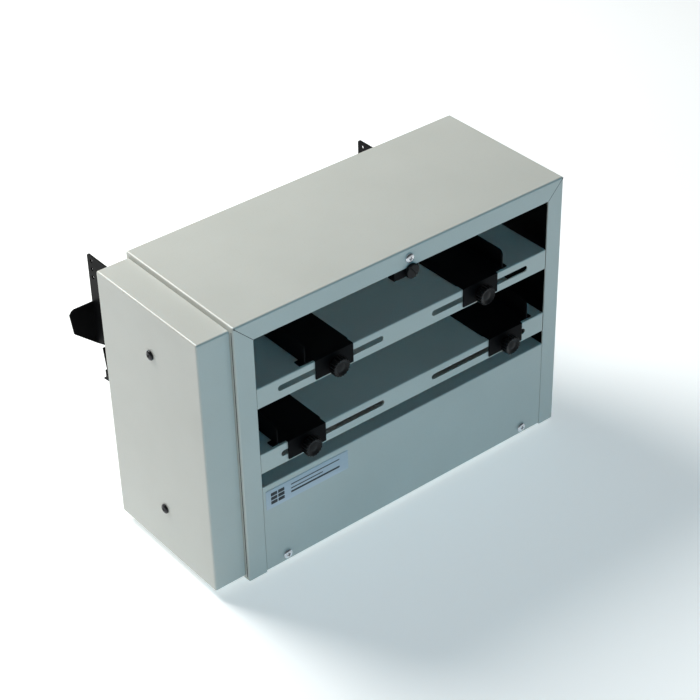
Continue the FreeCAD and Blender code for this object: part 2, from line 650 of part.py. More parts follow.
def hold_down():
    """Black hold-down bar hung behind the top rail, with its thumb knob in front."""
    plate = block("hold_plate", ("hold_screw_x - 8", "hold_screw_x + 8"),
                  ("skin + fit_gap", "hold_plate_back"), ("hold_low", "cabinet_high - skin - 1"))
    bar = block("hold_bar_blank", ("hold_left", "hold_right"), ("skin + fit_gap", "hold_bar_back"),
                ("hold_low", "cabinet_high - top_flange - 0.3"))
    through = ("0", "hold_bar_back + 1")
    tools = holes_for("hold_screw_hole", "y", [("hold_screw_x", "hold_screw_up")], through)
    tools += holes_for("hold_stud_hole", "y", [("hold_knob_x", "hold_knob_up")], through,
                       "stud_radius + running")
    keep(cut("hold_bar", fuse("hold_joined", [plate, bar]), tools), "hold_down_bar")
    knob = turned("hold_knob", [
        ("0", "-3.6"), ("hold_knob_radius - 1", "-3.6"), ("hold_knob_radius", "-2.8"),
        ("hold_knob_radius", "-0.4"), ("stud_radius", "-0.4"), ("stud_radius", "hold_bar_back - 1"),
        ("0", "hold_bar_back - 1")])
    keep(knob, "hold_down_knob", ("hold_knob_x", "0", "hold_knob_up"), "y")


# ---------------------------------------------------------------- tables and guides

def table(stage):
    """Folded table: top sheet, slotted front lip between the uprights, and a tab at its right end."""
    level = f"{stage}_level"
    inner = (f"{INNER[0]} + glide", f"{INNER[1]} - glide")
    lip_x = ("left_flange + edge_gap", "cabinet_wide - right_flange - lip_gap")
    top = (f"{level} - skin", level)
    plates = [
        block(f"{stage}_sheet", (inner[0], lip_x[1]), ("skin + fit_gap * 2", "table_back"), top),
        block(f"{stage}_tab", (lip_x[1], inner[1]), ("table_back - table_tab", "table_back"), top),
        block(f"{stage}_lip", lip_x, ("0", "skin"), (f"{level} - lip_high", level)),
        block(f"{stage}_nose", lip_x, ("0", "3"), top),
        block(f"{stage}_hem", inner, ("table_back - skin", "table_back"), (f"{level} - table_hem", level)),
    ]
    for side, low in enumerate((inner[0], f"{lip_x[1]} - skin")):
        plates.append(block(f"{stage}_end{side}", (low, f"{low} + skin"),
                            ("table_end_front", "table_back"), (f"{level} - table_end", level)))
    height = DRAWN[level]
    bent = soften(f"{stage}_bent", fuse(f"{stage}_folded", plates), DRAWN["bend"] * 0.6,
                  lambda spot, way: spot.y < 0.1 and spot.z > height - 0.1 and abs(way.x) > 0.9)
    high = (f"{level} - slot_drop", "slot_high")
    slots = [stadium(f"{stage}_slot{side}", span, ("-1", "skin + 1"), high) for side, span in
             enumerate((("slot_near", "slot_far"), ("cabinet_wide - slot_far", "cabinet_wide - slot_near")))]
    keep(cut(f"{stage}_slotted", bent, slots), f"{stage}_table")


def paper_guide(stage, side):
    """L-shaped guide, its front tab bent down over the lip, its nut and its thumb knob."""
    name = f"{stage}_{side}"
    way = 1 if side == "left" else -1
    floor = f"{stage}_level + glide"
    wall_x = f"{stage}_{side}_wall"

    def across(*texts):
        """Distances from the wall's outer face inwards, as a rising pair across the cabinet."""
        pair = [f"({text}) * {way}" for text in texts]
        return tuple(pair if way > 0 else reversed(pair))

    guide = doc.addObject("PartDesign::Body", name + "_guide_body")
    skin = "guide_skin"
    tab_near, tab_far = "guide_tab_near", "guide_tab_near + guide_tab_wide"
    tab_front = "-glide - guide_skin"
    base = [("guide_ear * -1", "guide_front"), (tab_near, "guide_front"), (tab_near, tab_front),
            (tab_far, tab_front), (tab_far, "guide_front + 4"), ("guide_foot", "guide_front + 6"),
            ("guide_foot", "guide_foot_back"), ("0", "guide_foot_back"), ("0", "guide_front + 7"),
            ("guide_ear * -1", "guide_front + 7")]
    extrude(guide, name + "_base", "XY_Plane", ("0", skin), [(f"({x}) * {way}", y) for x, y in base])
    wall = [("guide_front", "0"), ("guide_back", "0"), ("guide_back", "guide_wall - glide"),
            ("guide_front", "guide_wall - glide")]
    extrude(guide, name + "_wall_plate", "YZ_Plane", across("0", skin), wall)
    low = f"{skin} - guide_tab_high"
    start, end = across(tab_near, tab_far)
    tab = [(start, low), (end, low), (end, skin), (start, skin)]
    stud_down = "-slot_drop - glide"
    hole = ((f"knob_offset * {way}", stud_down), "hole_radius")
    extrude(guide, name + "_tab", "XZ_Plane", (tab_front, "-glide"), tab, [hole])
    top = DRAWN["guide_wall"] - DRAWN["glide"]
    front = DRAWN["guide_front"]
    round_edges(guide, name + "_corner", "5",
                lambda spot, line: abs(line.x) > 0.9 and spot.z > top - 0.1 and spot.y < front + 0.1)
    keep(guide, f"{name}_guide", (wall_x, "0", floor))

    stud_x = f"{wall_x} + knob_offset * {way}"
    stud_z = f"{stage}_level - slot_drop"
    slab = block(name + "_nut_blank", (f"{stud_x} - nut_wide / 2", f"{stud_x} + nut_wide / 2"),
                 ("skin + glide", "skin + glide + nut_thick"),
                 (f"{stud_z} - nut_high / 2", f"{stud_z} + nut_high / 2"))
    thread = rod(name + "_thread", "y", (stud_x, stud_z), ("0", "nut_thick * 2"), "stud_radius + running")
    keep(cut(name + "_nut", slab, [thread]), f"{name}_clamp_nut")
    knob = turned(name + "_knob_body", [
        ("0", "-knob_reach"), ("knob_radius - 1.2", "-knob_reach"), ("knob_radius", "1.2 - knob_reach"),
        ("knob_radius", "-4.4"), ("knob_hub", "-3.4"), ("knob_hub", f"{tab_front} - fit_gap"),
        ("stud_radius", f"{tab_front} - fit_gap"), ("stud_radius", "7.5"), ("0", "7.5")])
    keep(knob, f"{name}_knob", (stud_x, "0", stud_z), "y")


# ---------------------------------------------------------------- cutting stages and drive

def side_frame(side):
    """Steel side plate with a foot flange, bored for the bushes, spacers and drive."""
    left = side == "left"
    outer = "frame_in" if left else INNER[1]
    span = (outer, f"{outer} + frame_skin")
    foot = (INNER[0], f"{INNER[0]} + frame_foot") if left else (f"{INNER[1]} - frame_foot", INNER[1])
    base = "pan_low + skin"
    plates = [
        block(f"{side}_plate", span, ("frame_clear", "cabinet_deep - frame_clear"), (base, "frame_top")),
        block(f"{side}_foot", foot, ("frame_foot_front", "frame_foot_back"), (base, f"{base} + frame_skin")),
    ]
    through = (f"{outer} - 1", f"{outer} + frame_skin + 1")
    bores = [("nip_back", up) for up in SHAFT_UP.values()]
    tools = holes_for(f"{side}_bore", "x", bores, through, "bush_radius + seating")
    tools += holes_for(f"{side}_spacer_hole", "x", SPACERS, through, "spacer_end + 0.1")
    tools += holes_for(f"{side}_foot_hole", "z", FRAME_FOOT_SCREWS, ("1", f"{base} + frame_skin + 1"))
    tools += holes_for(f"{side}_wall_hole", "x", FRAME_SCREWS, through)
    if left:
        tools += holes_for("output_hole", "x", [("nip_back", OUTPUT_UP)], through, "output_radius + 5")
        tools += holes_for("idler_hole", "x", [(IDLER_BACK, IDLER_UP)], through, "idler_radius - 1")
        tools += holes_for("gearbox_hole", "x", GEARBOX_SCREWS, through)
        tools.append(block("lead_hole", through, ("lead_front", "lead_back"), ("lead_low", "lead_top")))
    keep(cut(f"{side}_bored", fuse(f"{side}_joined", plates), tools), f"{side}_side_frame")


def frame_hardware():
    """Spacer rods, bushes and the screws that hold the frames to the cabinet and its base."""
    length = "cabinet_wide - frame_in * 2"
    spacer = turned("spacer_master", [
        ("0", "0.2"), ("spacer_end", "0.2"), ("spacer_end", "frame_skin"), ("spacer_radius", "frame_skin"),
        ("spacer_radius", f"{length} - frame_skin"), ("spacer_end", f"{length} - frame_skin"),
        ("spacer_end", f"{length} - 0.2"), ("0", f"{length} - 0.2")])
    copies("tie_rods", spacer, [("frame_in", *spot, "x") for spot in SPACERS])
    bore = "journal_radius + running"
    bush = turned("bush_master", [
        (bore, "0"), ("bush_radius", "0"), ("bush_radius", "frame_skin"), ("bush_lip", "frame_skin"),
        ("bush_lip", "frame_skin + bush_lip_thick"), (bore, "frame_skin + bush_lip_thick")])
    ends = (("frame_in", "x"), ("cabinet_wide - frame_in", "-x"))
    copies("bushes", bush, [(x, "nip_back", up, along) for up in SHAFT_UP.values() for x, along in ends])


def screws():
    """The identical pan-head screws: those of the case, and those inside that hold the frames."""
    outside = [("-cover_wide", *spot, "-x") for spot in COVER_SCREWS]
    outside += [(x, "0", z, "-y") for x, z in PANEL_SCREWS + [("hold_screw_x", "hold_screw_up")]]
    outside += [(x, DEEP, z, "y") for x, z in REAR_SCREWS]
    outside += [(x, "cabinet_deep + fit_gap + bracket_skin", z, "y") for x, z in BRACKET_SCREWS]
    outside += [(x, y, "-foot_seat", "-z") for x, y in FEET]
    copies("case_screws", SCREW, outside)
    inside = [(x, y, "pan_low", "-z") for x, y in FRAME_FOOT_SCREWS]
    inside += [("0", y, z, "-x") for y, z in FRAME_SCREWS]
    inside += [("frame_in", y, z, "-x") for y, z in GEARBOX_SCREWS]
    copies("frame_screws", SCREW, inside)


CUTS = {"upper": ("upper_pitch", (-2, -1, 0, 1, 2)), "lower": ("lower_pitch", (-1.5, -0.5, 0.5, 1.5))}
ROLLERS = {"upper": (-1.5, -0.5, 0.5, 1.5), "lower": (-1, 0, 1)}
LEFT_END = {"upper_top": "plane_one - gear_wide - 1", "upper_bottom": "plane_two - gear_wide - 1",
            "lower_top": "plane_one - gear_wide - 1", "lower_bottom": "plane_three - gear_wide - 1"}


def cutter_shaft(stage, level):
    """One shaft with its slitting discs and rubber rollers, drawn along the shaft from x = 0."""
    name = f"{stage}_{level}"
    at = ("0", "nip_back", SHAFT_UP[name])
    seat_end, far_end = "frame_in - 0.6", "cabinet_wide - frame_in - 0.1"
    left = f"{INNER[0]} + bush_lip_thick + 0.5"
    right = f"{INNER[1]} - bush_lip_thick - 0.9"
    shaft = turned(name + "_shaft_body", [
        ("0", LEFT_END[name]), ("seat_radius", LEFT_END[name]), ("seat_radius", seat_end),
        ("journal_radius", seat_end), ("journal_radius", left), ("shaft_radius", left),
        ("shaft_radius", right), ("journal_radius", right), ("journal_radius", far_end), ("0", far_end)])
    keep(shaft, f"{name}_shaft", at, "x")

    bore = "shaft_radius + seating"
    pitch, steps = CUTS[stage]
    disc = turned(name + "_disc_master", [
        (bore, "0"), ("blade_radius", "0"), ("blade_radius", "blade_thick * 0.7"),
        ("blade_radius - 1.2", "blade_thick"), ("hub_radius", "blade_thick"),
        ("hub_radius", "hub_long"), (bore, "hub_long")])
    shift = "0" if level == "top" else "-blade_gap"
    along = "x" if level == "top" else "-x"
    spots = [(f"paper_middle + {pitch} * {step} + {shift}", "nip_back", SHAFT_UP[name], along)
             for step in steps]
    copies(f"{name}_slitting_discs", disc, spots)

    roller = turned(name + "_roller_master", [
        (bore, "0"), ("roller_radius", "0"), ("roller_radius", "roller_long"), (bore, "roller_long")])
    spots = [(f"paper_middle + {pitch} * {step} - roller_long / 2", "nip_back", SHAFT_UP[name], "x")
             for step in ROLLERS[stage]]
    copies(f"{name}_feed_rollers", roller, spots)


def tooth_outline(teeth, module, thinning):
    """Points of one involute tooth about angle 0: root, base, middle and tip of each flank."""
    pressure = math.radians(20)
    pitch = module * teeth / 2
    base, root, tip = pitch * math.cos(pressure), pitch - 1.25 * module, pitch + module
    involute = math.tan(pressure) - pressure
    half = math.pi / (2 * teeth) - thinning / (4 * pitch) + involute

    def flank(radius):
        lean = math.acos(base / radius)
        return half - (math.tan(lean) - lean)

    middle = (base + tip) / 2
    return {"root": (root, half), "base": (base, half), "middle": (middle, flank(middle)),
            "tip": (tip, flank(tip)), "crest": (tip, 0), "valley": (root, math.pi / teeth)}


def gear_teeth(body, name, teeth_cell, span, bore):
    """Pad an involute spur gear along a body's local z, one tooth centred on its local +X axis."""
    teeth = int(DRAWN[teeth_cell])
    points = tooth_outline(teeth, DRAWN["gear_module"], DRAWN["backlash"])
    low, high = span
    sketch = new_sketch(body, name + "_teeth", "XY_Plane", low)

    def spot(key, step, side):
        radius, angle = points[key]
        turn = math.tau * step / teeth + side * angle
        return V(radius * math.cos(turn), radius * math.sin(turn), 0)

    def line(start, end):
        sketch.addGeometry(Part.LineSegment(start, end))

    def arc(start, middle, end):
        sketch.addGeometry(Part.Arc(start, middle, end))

    for step in range(teeth):
        line(spot("root", step, -1), spot("base", step, -1))
        arc(spot("base", step, -1), spot("middle", step, -1), spot("tip", step, -1))
        arc(spot("tip", step, -1), spot("crest", step, 1), spot("tip", step, 1))
        arc(spot("tip", step, 1), spot("middle", step, 1), spot("base", step, 1))
        line(spot("base", step, 1), spot("root", step, 1))
        arc(spot("root", step, 1), spot("valley", step, 1), spot("root", step + 1, -1))
    ring(sketch, ("0", "0"), bore)
    pad = body.newObject("PartDesign::Pad", name)
    pad.Profile = sketch
    bind(pad, "Length", f"({high}) - ({low})")


def spur_gear(name, teeth_cell, wide, bore):
    """A single spur gear in a body of its own."""
    body = doc.addObject("PartDesign::Body", name + "_body")
    gear_teeth(body, name + "_face", teeth_cell, ("0", wide), bore)
    return body


def spin_placed(body, label, at, turn):
    """Keep a gear whose axis lies along X, turned about that axis by an angle in degrees."""
    keep(body, label, at, "x")
    body.Placement.Rotation = ALONG["x"].multiply(FreeCAD.Rotation(V(0, 0, 1), turn))


def mesh_turn(teeth, other_teeth, other_turn, direction):
    """The turn that meshes a gear with another; direction points from the other gear to it.

    Angles are local: a gear along X shows its local +X axis downwards and its local +Y axis
    backwards, so they are measured from straight down, positive towards the rear.
    """
    share = 0.5 - (direction - other_turn) * other_teeth / 360
    return direction + 180 - share * 360 / teeth


WEB_HOLES = 6


def add_drive_gear(body, bore):
    """The large gear and its hub, in one piece with the lowest shaft's small gear."""
    near = "plane_three - plane_two + gear_wide"
    far = "plane_three - plane_two"
    extra = new_sketch(body, "drive_hub_outline", "XY_Plane", near)
    ring(extra, ("0", "0"), "drive_hub")
    ring(extra, ("0", "0"), bore)
    hub = body.newObject("PartDesign::Pad", "drive_hub")
    hub.Profile = extra
    bind(hub, "Length", f"-({near})")
    gear_teeth(body, "drive_face", "drive_teeth", (far, near), bore)
    for number in range(WEB_HOLES):
        turn = 360 / WEB_HOLES * (number + 0.5)
        spot = (f"web_ring * cos({turn})", f"web_ring * sin({turn})")
        pocket(body, f"drive_web{number}", "XY_Plane", (far, near), circle=(spot, "web_radius"))


def drive_train():
    """Gears in the end cover, the idler and its pin, and the gearmotor behind the lower panel."""
    paired, drive = int(DRAWN["shaft_teeth"]), int(DRAWN["drive_teeth"])
    idler, pinion = int(DRAWN["idler_teeth"]), int(DRAWN["pinion_teeth"])
    half_rise = (DRAWN["upper_level"] - DRAWN["lower_level"]) / 2
    reach = DRAWN["gear_module"] * (paired + idler) / 2
    up_lean = 180 - math.degrees(math.acos(half_rise / reach))

    seat = "seat_radius + seating"
    one, two = "gear_wide", "gear_wide * 2 + 2"
    turns = {"lower_bottom": 0.0}
    turns["lower_top"] = mesh_turn(paired, paired, turns["lower_bottom"], 180)
    turns["idler"] = mesh_turn(idler, paired, turns["lower_bottom"], up_lean)
    turns["upper_bottom"] = mesh_turn(paired, idler, turns["idler"], -up_lean)
    turns["upper_top"] = mesh_turn(paired, paired, turns["upper_bottom"], 180)
    turns["pinion"] = mesh_turn(pinion, drive, 0.0, 0)

    for name, up in SHAFT_UP.items():
        single = name.endswith("top")
        wide = one if single else two
        low = "plane_one - gear_wide" if single else "plane_two - gear_wide"
        gear = spur_gear(f"{name}_gear", "shaft_teeth", wide, seat)
        if name == "lower_bottom":
            add_drive_gear(gear, seat)
        spin_placed(gear, f"{name}_gear", (low, "nip_back", up), turns[name])
    gear = spur_gear("idler", "idler_teeth", "gear_wide", "idler_radius + running")
    spin_placed(gear, "idler_gear", ("plane_two - gear_wide", IDLER_BACK, IDLER_UP), turns["idler"])
    gear = spur_gear("pinion", "pinion_teeth", "gear_wide", "output_radius - 1 + seating")
    spin_placed(gear, "motor_pinion", ("plane_three - gear_wide", "nip_back", OUTPUT_UP), turns["pinion"])

    tip, end, flange = "plane_two - gear_wide - 1.4", "idler_radius - 1.02", "plane_two + 0.4"
    pin = turned("idler_pin_body", [
        ("0", tip), ("idler_radius", tip), ("idler_radius", flange), ("idler_radius + 2", flange),
        ("idler_radius + 2", "plane_two + 2"), (end, "plane_two + 2"), (end, INNER[0]), ("0", INNER[0])])
    keep(pin, "idler_pin", ("0", IDLER_BACK, IDLER_UP), "x")

    tip, deep = "plane_three - gear_wide - 0.5", f"{INNER[0]} + gearbox_bore"
    shaft = turned("output_shaft_body", [
        ("0", tip), ("output_radius - 1", tip), ("output_radius - 1", "plane_three"),
        ("output_radius", "plane_three"), ("output_radius", f"{deep} - 0.5"), ("0", f"{deep} - 0.5")])
    keep(shaft, "output_shaft", ("0", "nip_back", OUTPUT_UP), "x")
    box_right = f"{INNER[0]} + gearbox_wide"
    housing = block("gearbox_block", (INNER[0], box_right), ("gearbox_front", "gearbox_back"),
                    ("gearbox_low", "gearbox_top"))
    housing = soften("gearbox_cast", housing, DRAWN["bend"] * 2, lambda spot, way: abs(way.x) > 0.9)
    tools = holes_for("gearbox_bore", "x", [("nip_back", OUTPUT_UP)], ("0", deep), "output_radius + running")
    tools += holes_for("gearbox_tap", "x", GEARBOX_SCREWS, ("0", f"{INNER[0]} + shank_long + 4.5"))
    keep(cut("gearbox_bored", housing, tools), "gearbox")
    motor = turned("motor_shell", [
        ("0", "0"), ("motor_radius", "0"), ("motor_radius", "8"), ("motor_radius - 1.5", "8"),
        ("motor_radius - 1.5", "motor_long - 14"), ("motor_radius", "motor_long - 14"),
        ("motor_radius", "motor_long - 4"), ("motor_radius - 5", "motor_long"), ("0", "motor_long")])
    keep(motor, "motor", (box_right, "nip_back", "motor_up"), "x")


def exit_chute(stage):
    """Sheet that carries the cut pieces from the rollers down to the exit slot."""
    level = f"{stage}_level"
    front, back = "nip_back + blade_radius + 2", "cabinet_deep - skin * 2 - 0.6"
    body = doc.addObject("PartDesign::Body", f"{stage}_chute_body")
    corners = [(front, f"{level} - 1"), (back, f"{level} - 5"), (back, f"{level} - 5 - skin"),
               (f"{front} + skin", f"{level} - 1.1 - skin"), (f"{front} + skin", f"{level} - 10"),
               (front, f"{level} - 10")]
    span = (f"{INNER[0]} + glide", f"{INNER[1]} - glide")
    extrude(body, f"{stage}_chute_sheet", "YZ_Plane", span, corners)
    keep(body, f"{stage}_exit_chute")


# Contact blades of the inlet, beside and above its middle.
BLADES = [(-7, -1.5), (0, 2), (7, -1.5)]
# The rocker's section about its pivot: outwards from the panel, and up.
ROCKER_PROFILE = [("3.4", "-7.4"), ("5.2", "-4"), ("3.4", "0"), ("2.4", "4"), ("1.4", "7.4"),
                  ("-1.2", "7.2"), ("-3.6", "3"), ("-3.6", "-3"), ("-1.2", "-7.2")]


def electrics():
    """Mains inlet and rocker switch on the rear panel."""
    flange = centred("inlet_flange", "inlet_x", "inlet_flange_half",
                     (DEEP, "cabinet_deep + inlet_flange_thick"), "inlet_flange_tall")
    core = centred("inlet_core", "inlet_x", "inlet_core_half",
                   ("cabinet_deep - inlet_core_deep", "cabinet_deep + inlet_flange_thick"),
                   "inlet_core_tall")
    well = centred("inlet_well", "inlet_x", "inlet_well_half",
                   ("cabinet_deep - inlet_well_deep", "cabinet_deep + inlet_flange_thick + 1"),
                   "inlet_well_tall")
    ears = holes_for("inlet_ear", "y", INLET_SCREWS, ("cabinet_deep - 1", "cabinet_deep + 4"),
                     "inlet_screw_radius")
    shell = cut("inlet_shell", fuse("inlet_joined", [flange, core]), [well, *ears])
    blades = [block(f"inlet_blade{number}", (f"inlet_x + {x} - 1", f"inlet_x + {x} + 1"),
                    ("cabinet_deep - inlet_well_deep - 0.5", "cabinet_deep - 3"),
                    (f"inlet_up + {up} - 2.2", f"inlet_up + {up} + 2.2"))
              for number, (x, up) in enumerate(BLADES)]
    keep(fuse("inlet", [shell, *blades]), "power_inlet")

    front = (DEEP, "cabinet_deep + switch_flange_thick")
    bezel = centred("switch_flange", "switch_x", "switch_flange_half", front, "inlet_flange_tall")
    case = centred("switch_core", "switch_x", "switch_core_half",
                   ("cabinet_deep - switch_core_deep", front[1]), "switch_core_tall")
    well = centred("switch_well", "switch_x", "switch_well_half",
                   ("cabinet_deep - switch_well_deep", f"{front[1]} + 1"), "switch_well_tall")
    reach = "rocker_pin_half + fit_gap"
    pin_hole = rod("switch_pin_hole", "x", ("cabinet_deep - rocker_in", "inlet_up"),
                   (f"switch_x - ({reach})", f"switch_x + ({reach})"), "rocker_pin + running")
    keep(cut("switch_case", fuse("switch_joined", [bezel, case]), [well, pin_hole]), "switch_housing")

    rocker = doc.addObject("PartDesign::Body", "rocker_body")
    extrude(rocker, "rocker_face", "YZ_Plane", ("-rocker_half", "rocker_half"), ROCKER_PROFILE)
    sketch = new_sketch(rocker, "rocker_pivot_outline", "YZ_Plane", "-rocker_pin_half")
    ring(sketch, ("0", "0"), "rocker_pin")
    pivot = rocker.newObject("PartDesign::Pad", "rocker_pivot")
    pivot.Profile = sketch
    bind(pivot, "Length", "rocker_pin_half * 2")
    keep(rocker, "rocker", ("switch_x", "cabinet_deep - rocker_in", "inlet_up"))


def feet():
    """Four rubber feet with a recess for their screws."""
    foot = turned("foot_master", [
        ("hole_radius", "pan_low"), ("foot_radius", "pan_low"), ("foot_radius - 1.2", "-foot_high"),
        ("head_radius + 0.6", "-foot_high"), ("head_radius + 0.6", "-foot_seat"),
        ("hole_radius", "-foot_seat")])
    copies("rubber_feet", foot, [(x, y, "0", "z") for x, y in FEET])


# The bracket's bent-out ear: outwards is negative, heights above the cabinet's lower edge.
EAR_OUTLINE = [("0.01", "150"), ("-21.5", "150"), ("-24.8", "145.4"), ("-22.2", "124.5"),
               ("0.01", "bracket_ear_foot"), ("9", "98"), ("9", "118"), ("0.01", "126")]


def tray_bracket(side):
    """Rear side plate: flange on the rear panel, adjusting holes and a bent-out ear at its edge."""
    way = 1 if side == "left" else -1
    body = doc.addObject("PartDesign::Body", f"{side}_bracket_body")
    face = "cabinet_deep + fit_gap"

    def across(low, high):
        pair = (f"({low}) * {way}", f"({high}) * {way}")
        return pair if way > 0 else pair[::-1]

    step = "bracket_back - bracket_set_back"
    plate = [(face, "74"), (step, "68"), (step, "bracket_set_top"), ("bracket_back", "bracket_ear_foot"),
             ("bracket_back", "bracket_top"), (face, "bracket_top")]
    holes = [(("bracket_back - adjust_in", f"bracket_top - adjust_down - adjust_step * {number}"),
              "adjust_radius") for number in range(3)]
    extrude(body, f"{side}_cheek", "YZ_Plane", across("0", "bracket_skin"), plate, holes)
    low, high = across("-bracket_flange", "0.01")
    flange = [(low, "bracket_flange_low"), (high, "bracket_flange_low"),
              (high, "bracket_flange_top"), (low, "bracket_flange_top")]
    screw_x = f"bracket_screw_in * {-way}"
    spots = [((screw_x, up), "hole_radius") for up in ("bracket_screw_low", "bracket_screw_top")]
    extrude(body, f"{side}_flange", "XZ_Plane", (face, f"{face} + bracket_skin"), flange, spots)
    extrude(body, f"{side}_ear", "XZ_Plane", ("bracket_back - bracket_skin", "bracket_back"),
            [(f"({x}) * {way}", up) for x, up in EAR_OUTLINE])
    top, back, ear_top = DRAWN["bracket_top"], DRAWN["bracket_back"], float(EAR_OUTLINE[0][1])
    round_edges(body, f"{side}_cheek_corner", "3",
                lambda spot, line: abs(line.x) > 0.9 and spot.z > top - 0.1 and spot.y > back - 0.1)
    round_edges(body, f"{side}_ear_corner", "5",
                lambda spot, line: abs(line.y) > 0.9 and spot.z > ear_top - 0.1 and abs(spot.x) > 20)
    keep(body, f"{side}_tray_bracket", (f"bracket_{side}", "0", "0"))


def catch_tray():
    """Sloping floor with side flanges between the brackets and a rear lip square to the floor."""
    body = doc.addObject("PartDesign::Body", "tray_body")
    skin = "skin"
    lip_foot = ("tray_back - tray_lip * sin(tray_slope)", "tray_lip_top - tray_lip * cos(tray_slope)")
    front = "cabinet_deep + 1"
    high = f"{lip_foot[1]} + ({lip_foot[0]} - {front}) * tan(tray_slope)"
    floor = [(front, high), lip_foot, (lip_foot[0], f"{lip_foot[1]} - {skin}"), (front, f"{high} - {skin}")]
    left, right = "bracket_left + bracket_skin + fit_gap", "bracket_right - bracket_skin - fit_gap"
    extrude(body, "tray_floor", "YZ_Plane", (left, right), floor)
    lip = [(lip_foot[0], f"{lip_foot[1]} - {skin}"), ("tray_back", "tray_lip_top"),
           (f"tray_back - {skin}", f"tray_lip_top + {skin} * tan(tray_slope)"),
           (f"{lip_foot[0]} - {skin}", lip_foot[1])]
    extrude(body, "tray_lip_sheet", "YZ_Plane", (f"{left} + 4.5", f"{right} - 4.5"), lip)
    wall_back = f"{lip_foot[0]} - 4"
    wall = [(front, f"{high} - {skin}"), (wall_back, f"{lip_foot[1]} - 0.4"),
            (wall_back, f"{lip_foot[1]} + tray_wall - 1"), (front, f"{high} + tray_wall")]
    extrude(body, "tray_left_wall", "YZ_Plane", (left, f"{left} + {skin}"), wall)
    extrude(body, "tray_right_wall", "YZ_Plane", (f"{right} - {skin}", right), wall)
    keep(body, "catch_tray")


# ---------------------------------------------------------------- build and write

cabinet_shell()
end_cover()
base_pan()
lower_front_panel()
rear_panel()
hold_down()
for stage in ("upper", "lower"):
    table(stage)
    for side in ("left", "right"):
        paper_guide(stage, side)
for side in ("left", "right"):
    side_frame(side)
frame_hardware()
screws()
for stage in ("upper", "lower"):
    for level in ("top", "bottom"):
        cutter_shaft(stage, level)
    exit_chute(stage)
drive_train()
electrics()
feet()
for side in ("left", "right"):
    tray_bracket(side)
catch_tray()
doc.recompute()

for thing in doc.Objects:
    if "Invalid" in thing.State or "Error" in thing.State:
        raise SystemExit(f"{thing.Name} failed to build: {thing.State}")
for thing in kept:
    if thing.Shape.isNull() or not thing.Shape.isValid() or not thing.Shape.Solids:
        raise SystemExit(f"{thing.Label} has no valid solid")

os.makedirs("parts", exist_ok=True)
for thing in kept:
    thing.Shape.exportStep(f"parts/{thing.Label}.step")
box = Part.makeCompound([thing.Shape for thing in kept]).BoundBox
print(len(kept), "pieces", [round(value, 2) for value in
                            (box.XMin, box.XMax, box.YMin, box.YMax, box.ZMin, box.ZMax)])
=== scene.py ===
import json
import math
import random

import bmesh
import bpy
from mathutils import Matrix, Vector


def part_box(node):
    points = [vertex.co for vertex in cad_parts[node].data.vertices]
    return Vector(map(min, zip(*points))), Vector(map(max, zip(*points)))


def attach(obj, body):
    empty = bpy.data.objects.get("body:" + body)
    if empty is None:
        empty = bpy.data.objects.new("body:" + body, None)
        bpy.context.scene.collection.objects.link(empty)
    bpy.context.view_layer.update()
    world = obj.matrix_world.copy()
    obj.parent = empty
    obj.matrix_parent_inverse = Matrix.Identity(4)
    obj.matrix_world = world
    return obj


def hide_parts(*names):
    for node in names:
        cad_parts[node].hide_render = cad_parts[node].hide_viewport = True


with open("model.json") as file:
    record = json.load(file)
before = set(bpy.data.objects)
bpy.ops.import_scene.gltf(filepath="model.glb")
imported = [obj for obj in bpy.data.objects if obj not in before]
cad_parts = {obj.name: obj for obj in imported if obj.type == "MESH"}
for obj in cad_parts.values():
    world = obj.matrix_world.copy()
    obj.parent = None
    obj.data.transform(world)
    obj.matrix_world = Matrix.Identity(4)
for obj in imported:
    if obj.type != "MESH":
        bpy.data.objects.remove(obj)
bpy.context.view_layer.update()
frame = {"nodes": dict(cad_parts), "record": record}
MM = 0.001
MICRON = 0.000001

# ---------------------------------------------------------------- stage: camera, lights and floor

VIEW_AZIMUTH, VIEW_ELEVATION, VIEW_ROLL = -38.179, 35.363, -1.468
LENS, SENSOR = 99.358, 36.0
CAMERA_AT = Vector((-844.9, -1137.1, 1110.3)) * MM

KEY_WHITE, FILL_BLUE = (1.0, 0.985, 0.95), (0.1, 0.66, 1.0)
SKY_TINT, SKY_LIGHT, BACKDROP = (0.9, 0.95, 1.0), 0.08, (0.86, 0.88, 0.9)
FLOOR_REACH = 6.0
FLOOR_TONES = (0.82, 0.822, 0.82), (0.84, 0.842, 0.84)
FLOOR_GLOW, FLOOR_GLOW_COLOUR = 0.46, (0.9, 0.975, 1.0)


def put_camera():
    """Camera at a fixed spot, turned by azimuth, elevation and roll."""
    az, el, roll = (math.radians(a) for a in (VIEW_AZIMUTH, VIEW_ELEVATION, VIEW_ROLL))
    back = Vector((math.sin(az) * math.cos(el), -math.cos(az) * math.cos(el), math.sin(el)))
    side = Vector((0, 0, 1)).cross(back).normalized()
    rise = back.cross(side)
    across = side * math.cos(roll) + rise * math.sin(roll)
    upward = rise * math.cos(roll) - side * math.sin(roll)
    data = bpy.data.cameras.new("camera")
    data.lens, data.sensor_width, data.clip_start = LENS, SENSOR, 0.01
    camera = bpy.data.objects.new("camera", data)
    camera.matrix_world = Matrix((across, upward, back)).transposed().to_4x4()
    camera.matrix_world.translation = CAMERA_AT
    bpy.context.collection.objects.link(camera)
    bpy.context.scene.camera = camera


def area_light(name, at, towards, size, power, colour, spread=180, mirrored=True):
    """Round softbox; one that isn't mirrored lights the paint and doesn't show in the bright metal."""
    data = bpy.data.lights.new(name, "AREA")
    data.shape, data.size, data.energy, data.color = "DISK", size, power, colour
    data.spread = math.radians(spread)
    light = bpy.data.objects.new(name, data)
    light.location = at
    light.rotation_euler = (Vector(towards) - Vector(at)).to_track_quat("-Z", "Y").to_euler()
    light.visible_glossy = mirrored
    bpy.context.collection.objects.link(light)


